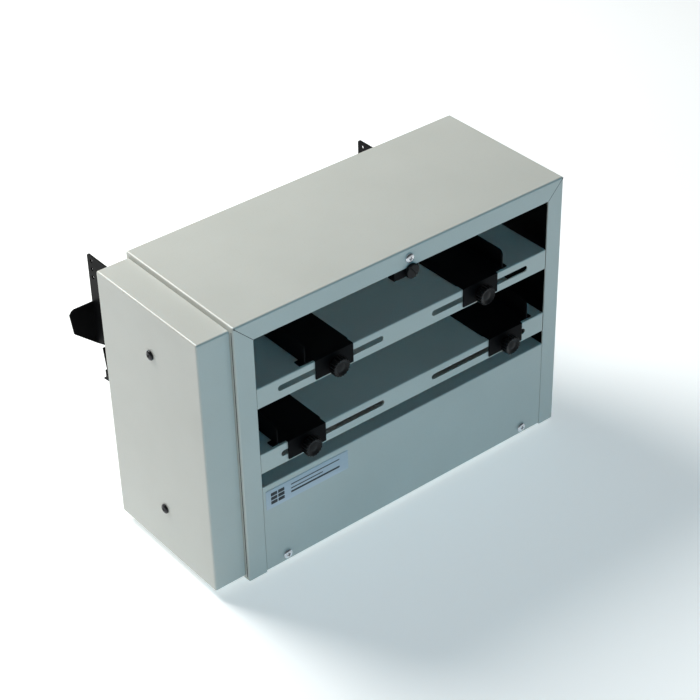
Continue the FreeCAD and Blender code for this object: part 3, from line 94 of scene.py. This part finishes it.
def put_lights():
    """Warm key from behind and above, a faint cool fill in front, and a dim sky that looks pale."""
    area_light("key", at=(-0.42, 1.2, 1.52), towards=(0, 0, 0.12), size=0.95, power=44,
               colour=KEY_WHITE)
    area_light("fill", at=(-0.1, -2.2, 0.9), towards=(0, 0, 0.2), size=0.7, power=0.6,
               colour=FILL_BLUE, spread=40, mirrored=False)
    world = bpy.data.worlds.new("world")
    world.use_nodes = True
    tree = world.node_tree
    sky = tree.nodes["Background"]
    sky.inputs["Color"].default_value = (*SKY_TINT, 1)
    sky.inputs["Strength"].default_value = SKY_LIGHT
    pale = node(tree, "ShaderNodeBackground", {"Color": (*BACKDROP, 1), "Strength": 1.0})
    seen = node(tree, "ShaderNodeLightPath").outputs["Is Camera Ray"]
    both = node(tree, "ShaderNodeMixShader", {0: seen, 1: sky.outputs[0], 2: pale.outputs[0]})
    tree.links.new(both.outputs[0], tree.nodes["World Output"].inputs["Surface"])
    bpy.context.scene.world = world
    bpy.context.scene.view_settings.view_transform = "Standard"


def lay_floor():
    """Pale floor with a faint mottle, and a little light of its own to keep the shadow soft."""
    mesh = bpy.data.meshes.new("floor")
    corners = [(x * FLOOR_REACH, y * FLOOR_REACH, 0) for x, y in ((-1, -1), (1, -1), (1, 1), (-1, 1))]
    mesh.from_pydata(corners, [], [(0, 1, 2, 3)])
    floor = bpy.data.objects.new("floor", mesh)
    bpy.context.collection.objects.link(floor)
    pale, tree, shader = blank("floor", roughness=0.75)
    tint = remap(tree, noise(tree, place_of(tree), scale=3, detail=3), 0, 1)
    tree.links.new(blend_colour(tree, tint, *FLOOR_TONES), shader.inputs["Base Color"])
    shader.inputs["Emission Color"].default_value = (*FLOOR_GLOW_COLOUR, 1)
    shader.inputs["Emission Strength"].default_value = FLOOR_GLOW
    wear(floor, pale)


# ---------------------------------------------------------------- material kit

def node(tree, kind, inputs=(), **settings):
    """Add a shader node; inputs is a dict of socket name or number to a value or a socket."""
    made = tree.nodes.new(kind)
    for key, value in settings.items():
        setattr(made, key, value)
    for key, value in dict(inputs).items():
        if isinstance(value, bpy.types.NodeSocket):
            tree.links.new(value, made.inputs[key])
        else:
            made.inputs[key].default_value = value
    return made


def blank(name, roughness=None, metallic=0.0):
    """New material with its tree and its one shader."""
    made = bpy.data.materials.new(name)
    made.use_nodes = True
    shader = made.node_tree.nodes["Principled BSDF"]
    shader.inputs["Metallic"].default_value = metallic
    if roughness is not None:
        shader.inputs["Roughness"].default_value = roughness
    return made, made.node_tree, shader


def place_of(tree, stretch=(1, 1, 1)):
    """Object coordinates in metres, scaled along each axis."""
    spot = node(tree, "ShaderNodeTexCoord").outputs["Object"]
    if stretch == (1, 1, 1):
        return spot
    return node(tree, "ShaderNodeMapping", {"Vector": spot, "Scale": stretch}).outputs["Vector"]


def noise(tree, spot, scale, detail=2.0, rough=0.5):
    """Noise value at a place; the scale is in waves per metre."""
    inputs = {"Vector": spot, "Scale": scale, "Detail": detail, "Roughness": rough}
    return node(tree, "ShaderNodeTexNoise", inputs).outputs["Fac"]


def remap(tree, value, low, high, start=0.3, end=0.7):
    """Map a noise value from start..end to low..high, clamped."""
    inputs = {"Value": value, "From Min": start, "From Max": end, "To Min": low, "To Max": high}
    return node(tree, "ShaderNodeMapRange", inputs).outputs["Result"]


def blend_colour(tree, amount, first, second):
    """Mix two colours, each a socket or three plain values."""
    made = node(tree, "ShaderNodeMix", {0: amount}, data_type="RGBA")
    for socket, value in ((made.inputs[6], first), (made.inputs[7], second)):
        if isinstance(value, bpy.types.NodeSocket):
            tree.links.new(value, socket)
        else:
            socket.default_value = (*value, 1)
    return made.outputs[2]


def bump(tree, shader, height, distance, under=None):
    """Raise the surface by height times distance, on top of another bump if one is given."""
    inputs = {"Height": height, "Distance": distance, "Strength": 1.0}
    if under is not None:
        inputs["Normal"] = under
    made = node(tree, "ShaderNodeBump", inputs)
    tree.links.new(made.outputs["Normal"], shader.inputs["Normal"])
    return made.outputs["Normal"]


def coat(name, colour, shade, gloss=(0.28, 0.4), peel=80, shine=0.5):
    """Baked powder coat: orange peel, faint mottling, and patches polished by handling."""
    made, tree, shader = blank(name)
    shader.inputs["Specular IOR Level"].default_value = shine
    spot = place_of(tree)
    patches = remap(tree, noise(tree, spot, scale=14, detail=4), 0, 1)
    grain = noise(tree, spot, scale=2600)
    tone = blend_colour(tree, patches, shade, colour)
    fleck = remap(tree, noise(tree, spot, scale=900, detail=3), 0, 0.16, 0.62, 0.74)
    flecked = blend_colour(tree, fleck, tone, tuple(c * 0.6 for c in shade))
    tree.links.new(flecked, shader.inputs["Base Color"])
    smears = noise(tree, spot, scale=26, detail=5)
    tree.links.new(remap(tree, smears, *gloss), shader.inputs["Roughness"])
    waves = bump(tree, shader, noise(tree, spot, scale=520, detail=1.5), peel * MICRON)
    bump(tree, shader, grain, 6 * MICRON, under=waves)
    return made


def metal(name, colour, shade, gloss, groove, scale, stretch=(1, 1, 1)):
    """Machined metal: fine tool marks drawn out along one axis, and a thin oily cloud."""
    made, tree, shader = blank(name, metallic=1.0)
    marks = noise(tree, place_of(tree, stretch), scale, detail=3, rough=0.6)
    cloud = noise(tree, place_of(tree), scale=45, detail=4)
    tone = blend_colour(tree, remap(tree, cloud, 0, 1), shade, colour)
    tree.links.new(tone, shader.inputs["Base Color"])
    spread = node(tree, "ShaderNodeMath", {0: marks, 1: cloud}, operation="MULTIPLY").outputs[0]
    tree.links.new(remap(tree, spread, *gloss, 0.1, 0.4), shader.inputs["Roughness"])
    bump(tree, shader, marks, groove * MICRON)
    return made


def moulded(name, colour, shade, gloss, grain=20, scale=1800, shine=0.5):
    """Moulded plastic or rubber: fine spark-eroded texture, and a little dust in random patches."""
    made, tree, shader = blank(name)
    shader.inputs["Specular IOR Level"].default_value = shine
    spot = place_of(tree)
    dust = remap(tree, noise(tree, spot, scale=120, detail=5, rough=0.65), 0, 1, 0.45, 0.75)
    tree.links.new(blend_colour(tree, dust, colour, shade), shader.inputs["Base Color"])
    smears = noise(tree, spot, scale=60, detail=3)
    tree.links.new(remap(tree, smears, *gloss), shader.inputs["Roughness"])
    bump(tree, shader, noise(tree, spot, scale), grain * MICRON)
    return made


# Colour, its second shade and the roughness range; peel, groove and grain are depths in microns.
COATS = {
    "putty_paint": dict(colour=(0.60, 0.615, 0.575), shade=(0.57, 0.585, 0.545)),
    "black_paint": dict(colour=(0.003, 0.003, 0.0035), shade=(0.005, 0.005, 0.006), gloss=(0.46, 0.6),
                        peel=40, shine=0.07),
    "motor_paint": dict(colour=(0.05, 0.055, 0.06), shade=(0.035, 0.038, 0.04), gloss=(0.4, 0.55)),
}
METALS = {
    "zinc": dict(colour=(0.83, 0.84, 0.86), shade=(0.70, 0.72, 0.77), gloss=(0.14, 0.3),
                 groove=4, scale=1500),
    "steel": dict(colour=(0.60, 0.60, 0.61), shade=(0.48, 0.48, 0.49), gloss=(0.22, 0.42),
                  groove=6, scale=160, stretch=(40, 1, 1)),
    "blade_steel": dict(colour=(0.74, 0.75, 0.77), shade=(0.62, 0.63, 0.66), gloss=(0.12, 0.28),
                        groove=4, scale=200, stretch=(30, 1, 1)),
    "gear_steel": dict(colour=(0.42, 0.42, 0.43), shade=(0.27, 0.26, 0.25), gloss=(0.28, 0.5),
                       groove=10, scale=300, stretch=(12, 1, 1)),
    "bronze": dict(colour=(0.62, 0.42, 0.20), shade=(0.45, 0.28, 0.12), gloss=(0.3, 0.5),
                   groove=10, scale=2400),
    "cast_alloy": dict(colour=(0.55, 0.55, 0.56), shade=(0.42, 0.42, 0.43), gloss=(0.42, 0.62),
                       groove=60, scale=900),
    "black_oxide": dict(colour=(0.05, 0.05, 0.055), shade=(0.03, 0.03, 0.032), gloss=(0.18, 0.34),
                        groove=4, scale=1500),
}
MOULDED = {
    "roller_rubber": dict(colour=(0.035, 0.035, 0.036), shade=(0.075, 0.075, 0.075), gloss=(0.65, 0.85),
                          grain=40, scale=900),
    "foot_rubber": dict(colour=(0.02, 0.02, 0.02), shade=(0.05, 0.05, 0.048), gloss=(0.7, 0.9),
                        grain=40, scale=900),
    "black_plastic": dict(colour=(0.004, 0.004, 0.0045), shade=(0.008, 0.008, 0.0085), gloss=(0.3, 0.44),
                          shine=0.22),
    "label_face": dict(colour=(0.55, 0.60, 0.66), shade=(0.58, 0.63, 0.68), gloss=(0.3, 0.42),
                       grain=8, scale=2600),
    "print_ink": dict(colour=(0.02, 0.022, 0.026), shade=(0.03, 0.032, 0.036), gloss=(0.35, 0.5),
                      grain=4, scale=2600),
    # seam_shadow is painted shade: the dark of the gaps in the seams, laid on as fine beads.
    "seam_shadow": dict(colour=(0.02, 0.022, 0.024), shade=(0.045, 0.048, 0.05), gloss=(0.6, 0.8)),
}


def make_materials():
    """All materials by name, each from its recipe."""
    made = {}
    for recipe, looks in ((coat, COATS), (metal, METALS), (moulded, MOULDED)):
        made.update({name: recipe(name, **look) for name, look in looks.items()})
    return made


# ---------------------------------------------------------------- the CAD nodes' finish

FLAT_WITHIN, SHARP_BEYOND = 0.6, 38
WELD_DISTANCE = 2 * MICRON


def wear(thing, material):
    """Give a thing one material."""
    thing.data.materials.clear()
    thing.data.materials.append(material)


def flat_shading():
    """Node group that shades every face flat."""
    group = bpy.data.node_groups.new("flat_shading", "GeometryNodeTree")
    for way in ("INPUT", "OUTPUT"):
        group.interface.new_socket("Geometry", in_out=way, socket_type="NodeSocketGeometry")
    start, end = group.nodes.new("NodeGroupInput"), group.nodes.new("NodeGroupOutput")
    flat = group.nodes.new("GeometryNodeSetShadeSmooth")
    flat.inputs["Shade Smooth"].default_value = False
    group.links.new(start.outputs[0], flat.inputs[0])
    group.links.new(flat.outputs[0], end.inputs[0])
    return group


def crisp(thing, width, shading):
    """Join split vertices, clear slivers from flat faces, then break the sharp edges."""
    weld = thing.modifiers.new("weld", "WELD")
    weld.merge_threshold = WELD_DISTANCE
    plain = thing.modifiers.new("plain", "DECIMATE")
    plain.decimate_type, plain.angle_limit = "DISSOLVE", math.radians(FLAT_WITHIN)
    edge = thing.modifiers.new("edges", "BEVEL")
    edge.width, edge.segments, edge.limit_method = width, 2, "ANGLE"
    edge.angle_limit = math.radians(SHARP_BEYOND)
    edge.use_clamp_overlap = True
    thing.modifiers.new("shading", "NODES").node_group = shading


SHEET_EDGE, MOULDED_EDGE = 0.28 * MM, 0.5 * MM
SHEET_METAL = ["cabinet_shell", "end_cover", "base_pan", "lower_front_panel", "rear_panel",
               "upper_table", "lower_table", "hold_down_bar", "left_side_frame", "right_side_frame",
               "upper_exit_chute", "lower_exit_chute", "left_tray_bracket", "right_tray_bracket",
               "catch_tray"]
PLACES = [f"{stage}_{side}" for stage in ("upper", "lower") for side in ("left", "right")]


def finish_nodes():
    """Give every CAD node its material, and folded or moulded ones their softened edges."""
    for row in frame["record"]["subparts"]:
        wear(frame["nodes"][row["node"]], materials[row["material_slot"]])
    shading = flat_shading()
    for name in SHEET_METAL + [f"{place}_guide" for place in PLACES]:
        crisp(frame["nodes"][name], SHEET_EDGE, shading)
    for name in ("gearbox", "power_inlet", "switch_housing", "rocker"):
        crisp(frame["nodes"][name], MOULDED_EDGE, shading)


# ---------------------------------------------------------------- shape kit

def add_piece(name, mesh, finish, body, *stands_for, slot=None):
    """Make a mesh a visible piece that rides on a body, in place of the CAD nodes it stands for."""
    thing = bpy.data.objects.new(name, mesh)
    bpy.context.collection.objects.link(thing)
    wear(thing, materials[finish])
    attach(thing, body)
    if stands_for:
        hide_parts(*stands_for)
    return thing


def finished(name, work, sharp=35):
    """Turn a bmesh into a mesh: outward normals, smooth faces, sharp edges kept."""
    bmesh.ops.recalc_face_normals(work, faces=work.faces)
    for face in work.faces:
        face.smooth = True
    for edge in work.edges:
        edge.smooth = len(edge.link_faces) != 2 or edge.calc_face_angle(0) < math.radians(sharp)
    mesh = bpy.data.meshes.new(name)
    work.to_mesh(mesh)
    work.free()
    return mesh


def bridge(work, first, second):
    """Faces between two closed rings; a ring of one vertex is a pole."""
    count = max(len(first), len(second))
    for step in range(count):
        after = (step + 1) % count
        if len(first) == 1:
            work.faces.new((first[0], second[step], second[after]))
        elif len(second) == 1:
            work.faces.new((first[step], first[after], second[0]))
        else:
            work.faces.new((first[step], first[after], second[after], second[step]))


def cap_ends(work, rings):
    """Close the first and the last ring with one face each."""
    work.faces.new(rings[-1])
    work.faces.new(list(reversed(rings[0])))


def lathe(profile, steps=96, flutes=0, depth=0.0):
    """Revolve (along, radius, flute share) stations about -Y; flutes scallop the radius."""
    work = bmesh.new()
    rings = []
    for along, radius, share in profile:
        if radius == 0:
            rings.append([work.verts.new((0, -along, 0))])
            continue
        row = []
        for step in range(steps):
            turn = 2 * math.pi * step / steps
            dip = depth * share * (0.5 - 0.5 * math.cos(flutes * turn)) ** 1.6 if flutes else 0
            reach = radius - dip
            row.append(work.verts.new((reach * math.cos(turn), -along, reach * math.sin(turn))))
        rings.append(row)
    for near, far in zip(rings, rings[1:]):
        bridge(work, near, far)
    return work


def arc(centre, radius, start, stop, steps, share=1.0):
    """Stations of a rounded corner, from one angle to another in degrees."""
    rows = []
    for number in range(steps + 1):
        turn = math.radians(start + (stop - start) * number / steps)
        along, out = centre[0] + radius * math.sin(turn), centre[1] + radius * math.cos(turn)
        rows.append((along, out, share))
    return rows


def carve(work, cutter, name, sharp=35):
    """Cut one bmesh from another with an exact boolean and return the finished mesh."""
    things = []
    for part, label in ((work, "blank"), (cutter, "cutter")):
        bmesh.ops.recalc_face_normals(part, faces=part.faces)
        mesh = bpy.data.meshes.new(label)
        part.to_mesh(mesh)
        part.free()
        thing = bpy.data.objects.new(label, mesh)
        bpy.context.collection.objects.link(thing)
        things.append(thing)
    blank_thing, cutter_thing = things
    trim = blank_thing.modifiers.new("trim", "BOOLEAN")
    trim.operation, trim.solver, trim.object = "DIFFERENCE", "EXACT", cutter_thing
    bpy.context.view_layer.update()
    ready = blank_thing.evaluated_get(bpy.context.evaluated_depsgraph_get())
    work = bmesh.new()
    work.from_mesh(ready.to_mesh())
    ready.to_mesh_clear()
    for thing in things:
        mesh = thing.data
        bpy.data.objects.remove(thing)
        bpy.data.meshes.remove(mesh)
    return finished(name, work, sharp)


def knob_place(name):
    """A knob's seat on the sheet behind it, its radius and its length, from its CAD node."""
    low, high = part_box(name)
    middle = (low + high) / 2
    return Vector((middle.x, high.y, middle.z)), (high.x - low.x) / 2, high.y - low.y


# ---------------------------------------------------------------- thumb knobs

# Stations of the dished face in millimetres: behind the front, and out from the axis.
KNOB_DISH = ((0.7, 0), (0.75, 2.3), (1.3, 3.4), (1.35, 4.9), (0.9, 5.5))
KNOB_HEAD, KNOB_ROUND, KNOB_FLUTES, FLUTE_DEPTH = 7.0 * MM, 1.1 * MM, 18, 0.75 * MM
HUB_RADIUS, HUB_END = 4.6 * MM, 8.7 * MM
THREAD_START, THREAD_LONG, THREAD_TURNS = 8.2 * MM, 7.4 * MM, 12
THREAD_CREST, THREAD_ROOT = 2.0 * MM, 1.7 * MM


def guide_knob(name):
    """Fluted thumb knob with a dished face, a hub behind it and its threaded stud."""
    seat, radius, long = knob_place(name)
    profile = [(long - behind * MM, out * MM, 0) for behind, out in KNOB_DISH]
    profile += arc((long - KNOB_ROUND, radius - KNOB_ROUND), KNOB_ROUND, 75, 0, 5)
    grip_end = long - KNOB_HEAD
    profile += [(long - KNOB_HEAD / 2, radius, 1), (grip_end + 0.8 * MM, radius, 1),
                (grip_end + 0.3 * MM, radius - 0.25 * MM, 1), (grip_end, radius - 1.1 * MM, 0.6),
                (grip_end - 0.7 * MM, HUB_RADIUS + 0.2 * MM, 0), (grip_end - 1.6 * MM, HUB_RADIUS, 0),
                (HUB_END, HUB_RADIUS, 0), (HUB_END - 0.2 * MM, HUB_RADIUS - 0.3 * MM, 0),
                (HUB_END - 0.3 * MM, THREAD_CREST, 0)]
    for number in range(THREAD_TURNS * 2):
        along = THREAD_START - THREAD_LONG * number / (THREAD_TURNS * 2)
        profile.append((along, THREAD_CREST if number % 2 else THREAD_ROOT, 0))
    profile += [(0.3 * MM, THREAD_ROOT, 0), (0, 1.3 * MM, 0), (0, 0, 0)]
    mesh = finished(name + "_fluted", lathe(profile, 144, KNOB_FLUTES, FLUTE_DEPTH), 40)
    mesh.transform(Matrix.Translation(seat))
    add_piece(name + "_fluted", mesh, "black_plastic", name, name)


def hold_knob():
    """Knurled clamp screw with a coin slot across its face."""
    name = "hold_down_knob"
    seat, radius, long = knob_place(name)
    head, corner, shank = 3.2 * MM, 0.8 * MM, 2.0 * MM
    head_end = long - head
    profile = [(long - 0.05 * MM, 0, 0), (long, 3.6 * MM, 0), (long - 0.1 * MM, radius - 1.3 * MM, 0)]
    profile += arc((long - corner, radius - corner), corner, 70, 0, 4)
    profile += [(head_end + 0.5 * MM, radius, 1), (head_end + 0.1 * MM, radius - 0.3 * MM, 1),
                (head_end, radius - 0.8 * MM, 0), (head_end, shank, 0), (0.4 * MM, shank, 0),
                (0, 1.6 * MM, 0), (0, 0, 0)]
    slot_deep, slot_wide, slot_turn = 1.3 * MM, 1.5 * MM, 55
    slot = bmesh.new()
    bmesh.ops.create_cube(slot, size=1.0)
    bmesh.ops.scale(slot, vec=(2.2 * radius, 2 * slot_deep, slot_wide), verts=slot.verts)
    bmesh.ops.rotate(slot, matrix=Matrix.Rotation(math.radians(slot_turn), 3, "Y"), verts=slot.verts)
    bmesh.ops.translate(slot, vec=(0, -long, 0), verts=slot.verts)
    mesh = carve(lathe(profile, 160, 40, 0.3 * MM), slot, name + "_slotted")
    mesh.transform(Matrix.Translation(seat))
    add_piece(name + "_slotted", mesh, "black_plastic", name, name)


# ---------------------------------------------------------------- case screws

def loose_parts(mesh):
    """The vertices' places of each separate solid in a mesh."""
    work = bmesh.new()
    work.from_mesh(mesh)
    bmesh.ops.remove_doubles(work, verts=work.verts, dist=WELD_DISTANCE)
    left, parts = set(work.verts), []
    while left:
        stack, part = [left.pop()], []
        while stack:
            vert = stack.pop()
            part.append(vert.co.copy())
            for edge in vert.link_edges:
                other = edge.other_vert(vert)
                if other in left:
                    left.remove(other)
                    stack.append(other)
        parts.append(part)
    work.free()
    return parts


def screw_of(part):
    """Head seat, outward direction, shank length and head radius of one screw's vertices."""
    low = Vector([min(co[i] for co in part) for i in range(3)])
    high = Vector([max(co[i] for co in part) for i in range(3)])
    spread, centre = high - low, (low + high) / 2
    axis = min(range(3), key=lambda i: abs(spread[(i + 1) % 3] - spread[(i + 2) % 3]))
    radius = spread[(axis + 1) % 3] / 2
    rim = [co for co in part
           if max(abs(co[i] - centre[i]) for i in range(3) if i != axis) > radius * 0.98]
    way = 1 if sum(co[axis] for co in rim) / len(rim) > centre[axis] else -1
    seat = (min if way > 0 else max)(co[axis] for co in rim)
    tip = (low if way > 0 else high)[axis]
    place, outward = centre.copy(), Vector((0, 0, 0))
    place[axis], outward[axis] = seat, way
    return place, outward, abs(seat - tip), radius


def cross_cutter(top, deep):
    """Tapered four-armed plug that cuts a driver's recess, from above the head to its floor."""
    half, reach = 0.55 * MM, 2.55 * MM
    cutter = bmesh.new()
    rings = []
    for along, width, arm in ((top + 1 * MM, half, reach), (top - deep, half * 0.6, reach * 0.42)):
        outline = []
        for quarter in range(4):
            spin = Matrix.Rotation(math.radians(-90 * quarter), 3, "Y")
            for x, z in ((arm, -width), (arm, width), (width, width)):
                outline.append(cutter.verts.new(spin @ Vector((x, -along, z))))
        rings.append(outline)
    bridge(cutter, *rings)
    cap_ends(cutter, rings[::-1])
    return cutter


def pan_head(radius, shank):
    """Domed head with a tapered cross recess and a plain shank, seat at the origin, facing -Y."""
    tall, rim, shank_radius, dome_steps = 2.6 * MM, 0.12 * MM, 2.0 * MM, 8
    profile = [(tall, 0, 0)]
    for number in range(1, dome_steps + 1):
        turn = math.radians(90 * number / dome_steps)
        profile.append((tall * (0.38 + 0.62 * math.cos(turn)), radius * math.sin(turn), 0))
    profile += [(rim, radius, 0), (0, radius - rim, 0), (0, shank_radius, 0),
                (-shank + 0.5 * MM, shank_radius, 0), (-shank, 1.5 * MM, 0), (-shank, 0, 0)]
    return carve(lathe(profile, 48), cross_cutter(tall, 1.9 * MM), "pan_head", 30)


def make_screws():
    """Cover screws are blackened, all others are zinc plated."""
    shapes = {}
    batches = {"case_screws_zinc": bmesh.new(), "cover_screws_black": bmesh.new()}
    draw = random.Random(4)
    screws = [screw_of(part) for part in loose_parts(frame["nodes"]["case_screws"].data)]
    for place, outward, shank, radius in sorted(screws, key=lambda row: tuple(row[0])):
        key = round(shank * 10000)
        if key not in shapes:
            shapes[key] = pan_head(radius, shank)
        facing = Vector((0, -1, 0)).rotation_difference(outward).to_matrix().to_4x4()
        spin = Matrix.Rotation(draw.uniform(0, math.tau), 4, "Y")
        mesh = shapes[key].copy()
        mesh.transform(Matrix.Translation(place) @ facing @ spin)
        on_cover = outward.x < -0.5
        batches["cover_screws_black" if on_cover else "case_screws_zinc"].from_mesh(mesh)
        bpy.data.meshes.remove(mesh)
    for name, work in batches.items():
        stands = ("case_screws",) if name == "case_screws_zinc" else ()
        finish = "zinc" if stands else "black_oxide"
        add_piece(name, finished(name, work, 30), finish, "cabinet", *stands, slot="zinc")


# ---------------------------------------------------------------- label plate

def rounded_card(work, low, high, near, far, corner, steps=6):
    """Flat plate with rounded corners and a broken front edge, in the XZ plane."""
    outline = []
    corners = ((high[0], high[1]), (low[0], high[1]), (low[0], low[1]), (high[0], low[1]))
    for number, (x, z) in enumerate(corners):
        centre = (x - corner * (1 if x == high[0] else -1), z - corner * (1 if z == high[1] else -1))
        for step in range(steps + 1):
            turn = math.radians(90 * number + 90 * step / steps)
            outline.append((centre[0], centre[1], math.cos(turn), math.sin(turn)))
    rim = min(0.12 * MM, abs(far - near) * 0.4, corner * 0.5)
    rings = []
    for y, inset in ((far, 0), (near + rim, 0), (near + rim * 0.3, rim * 0.3), (near, rim)):
        rings.append([work.verts.new((x + (corner - inset) * c, y, z + (corner - inset) * s))
                      for x, z, c, s in outline])
    for back, front in zip(rings, rings[1:]):
        bridge(work, back, front)
    cap_ends(work, rings)


CARD_SIZE, CARD_GAP, CARDS_AT = (6.6 * MM, 3.4 * MM), 0.9 * MM, (5 * MM, 4 * MM)
BARS_AT, BAR_STEP, INK_THICK = (26 * MM, 14.2 * MM), 4.1 * MM, 0.06 * MM
BARS = ((52 * MM, 1.1 * MM), (34 * MM, 1.1 * MM), (52 * MM, 1.9 * MM))


def make_label():
    """Plain instrument label: a sheet cut into cards, and three plain bars."""
    low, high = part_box("label_plate")
    plate = bmesh.new()
    rounded_card(plate, (low.x, low.z), (high.x, high.z), low.y + 0.04 * MM, high.y, 0.8 * MM)
    add_piece("label_plate_rounded", finished("label_plate_rounded", plate), "label_face",
              "cabinet", "label_plate")
    ink = bmesh.new()
    front, back = low.y, low.y + INK_THICK
    wide, tall = CARD_SIZE
    for column in range(2):
        for row in range(3):
            x = low.x + CARDS_AT[0] + column * (wide + CARD_GAP)
            z = low.z + CARDS_AT[1] + row * (tall + CARD_GAP)
            rounded_card(ink, (x, z), (x + wide, z + tall), front, back, 0.5 * MM)
    for number, (length, thick) in enumerate(BARS):
        x, z = low.x + BARS_AT[0], low.z + BARS_AT[1] - BAR_STEP * number
        rounded_card(ink, (x, z), (x + length, z + thick), front, back, 0.5 * MM)
    add_piece("label_print", finished("label_print", ink), "print_ink", "cabinet", slot="label_face")


# ---------------------------------------------------------------- painted shade in the seams of the folded sheets

FLANGE_WIDTH = {"left": 18.5 * MM, "right": 17.4 * MM}
RAIL_HEIGHT, SEAM_INSET = 18.2 * MM, 0.7 * MM
MITRE_HALF, COVER_JOINT_HALF = 0.52 * MM, 1.0 * MM


def shadow_seam(name, start, end, outward, half, point_share=1.0):
    """Painted shadow of a joint's gap: a fine dark bead from start to end, a hair proud of the paint."""
    proud = outward * 0.03 * MM
    side = (end - start).normalized().cross(outward) * half
    steps, rings = 24, []
    work = bmesh.new()
    for number in range(steps + 1):
        spot = start.lerp(end, number / steps)
        reach = side * (1 if number < steps else point_share)
        rings.append([work.verts.new(spot + reach - proud), work.verts.new(spot + proud),
                      work.verts.new(spot - reach - proud)])
    for near, far in zip(rings, rings[1:]):
        bridge(work, near, far)
    cap_ends(work, rings[::-1])
    add_piece(name, finished(name, work), "seam_shadow", "cabinet", slot="putty_paint")


def make_seams():
    """Painted shade lines: in the mitres at the frame's upper corners, and in the gap beside the end
    cover.
    """
    low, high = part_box("cabinet_shell")
    # A dark bead in each mitre paints the shade of its gap.
    for side, edge, way in (("left", low.x, 1), ("right", high.x, -1)):
        outer = Vector((edge + way * SEAM_INSET, low.y, high.z - SEAM_INSET))
        inner = Vector((edge + way * FLANGE_WIDTH[side], low.y, high.z - RAIL_HEIGHT))
        shadow_seam(f"mitre_seam_shade_{side}", outer, inner, Vector((0, -1, 0)), MITRE_HALF, 0.4)
    # A dark bead on the cabinet's side paints the shade in the gap beside the end cover.
    cover_low, cover_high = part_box("end_cover")
    joint = (low.y + cover_low.y) / 2
    foot, head = Vector((low.x, joint, cover_low.z)), Vector((low.x, joint, cover_high.z))
    shadow_seam("cover_seam_shade", foot, head, Vector((-1, 0, 0)), COVER_JOINT_HALF)


# ---------------------------------------------------------------- the scene

materials = make_materials()
put_camera()
put_lights()
finish_nodes()
for place in PLACES:
    guide_knob(f"{place}_knob")
hold_knob()
make_screws()
make_label()
make_seams()
lay_floor()
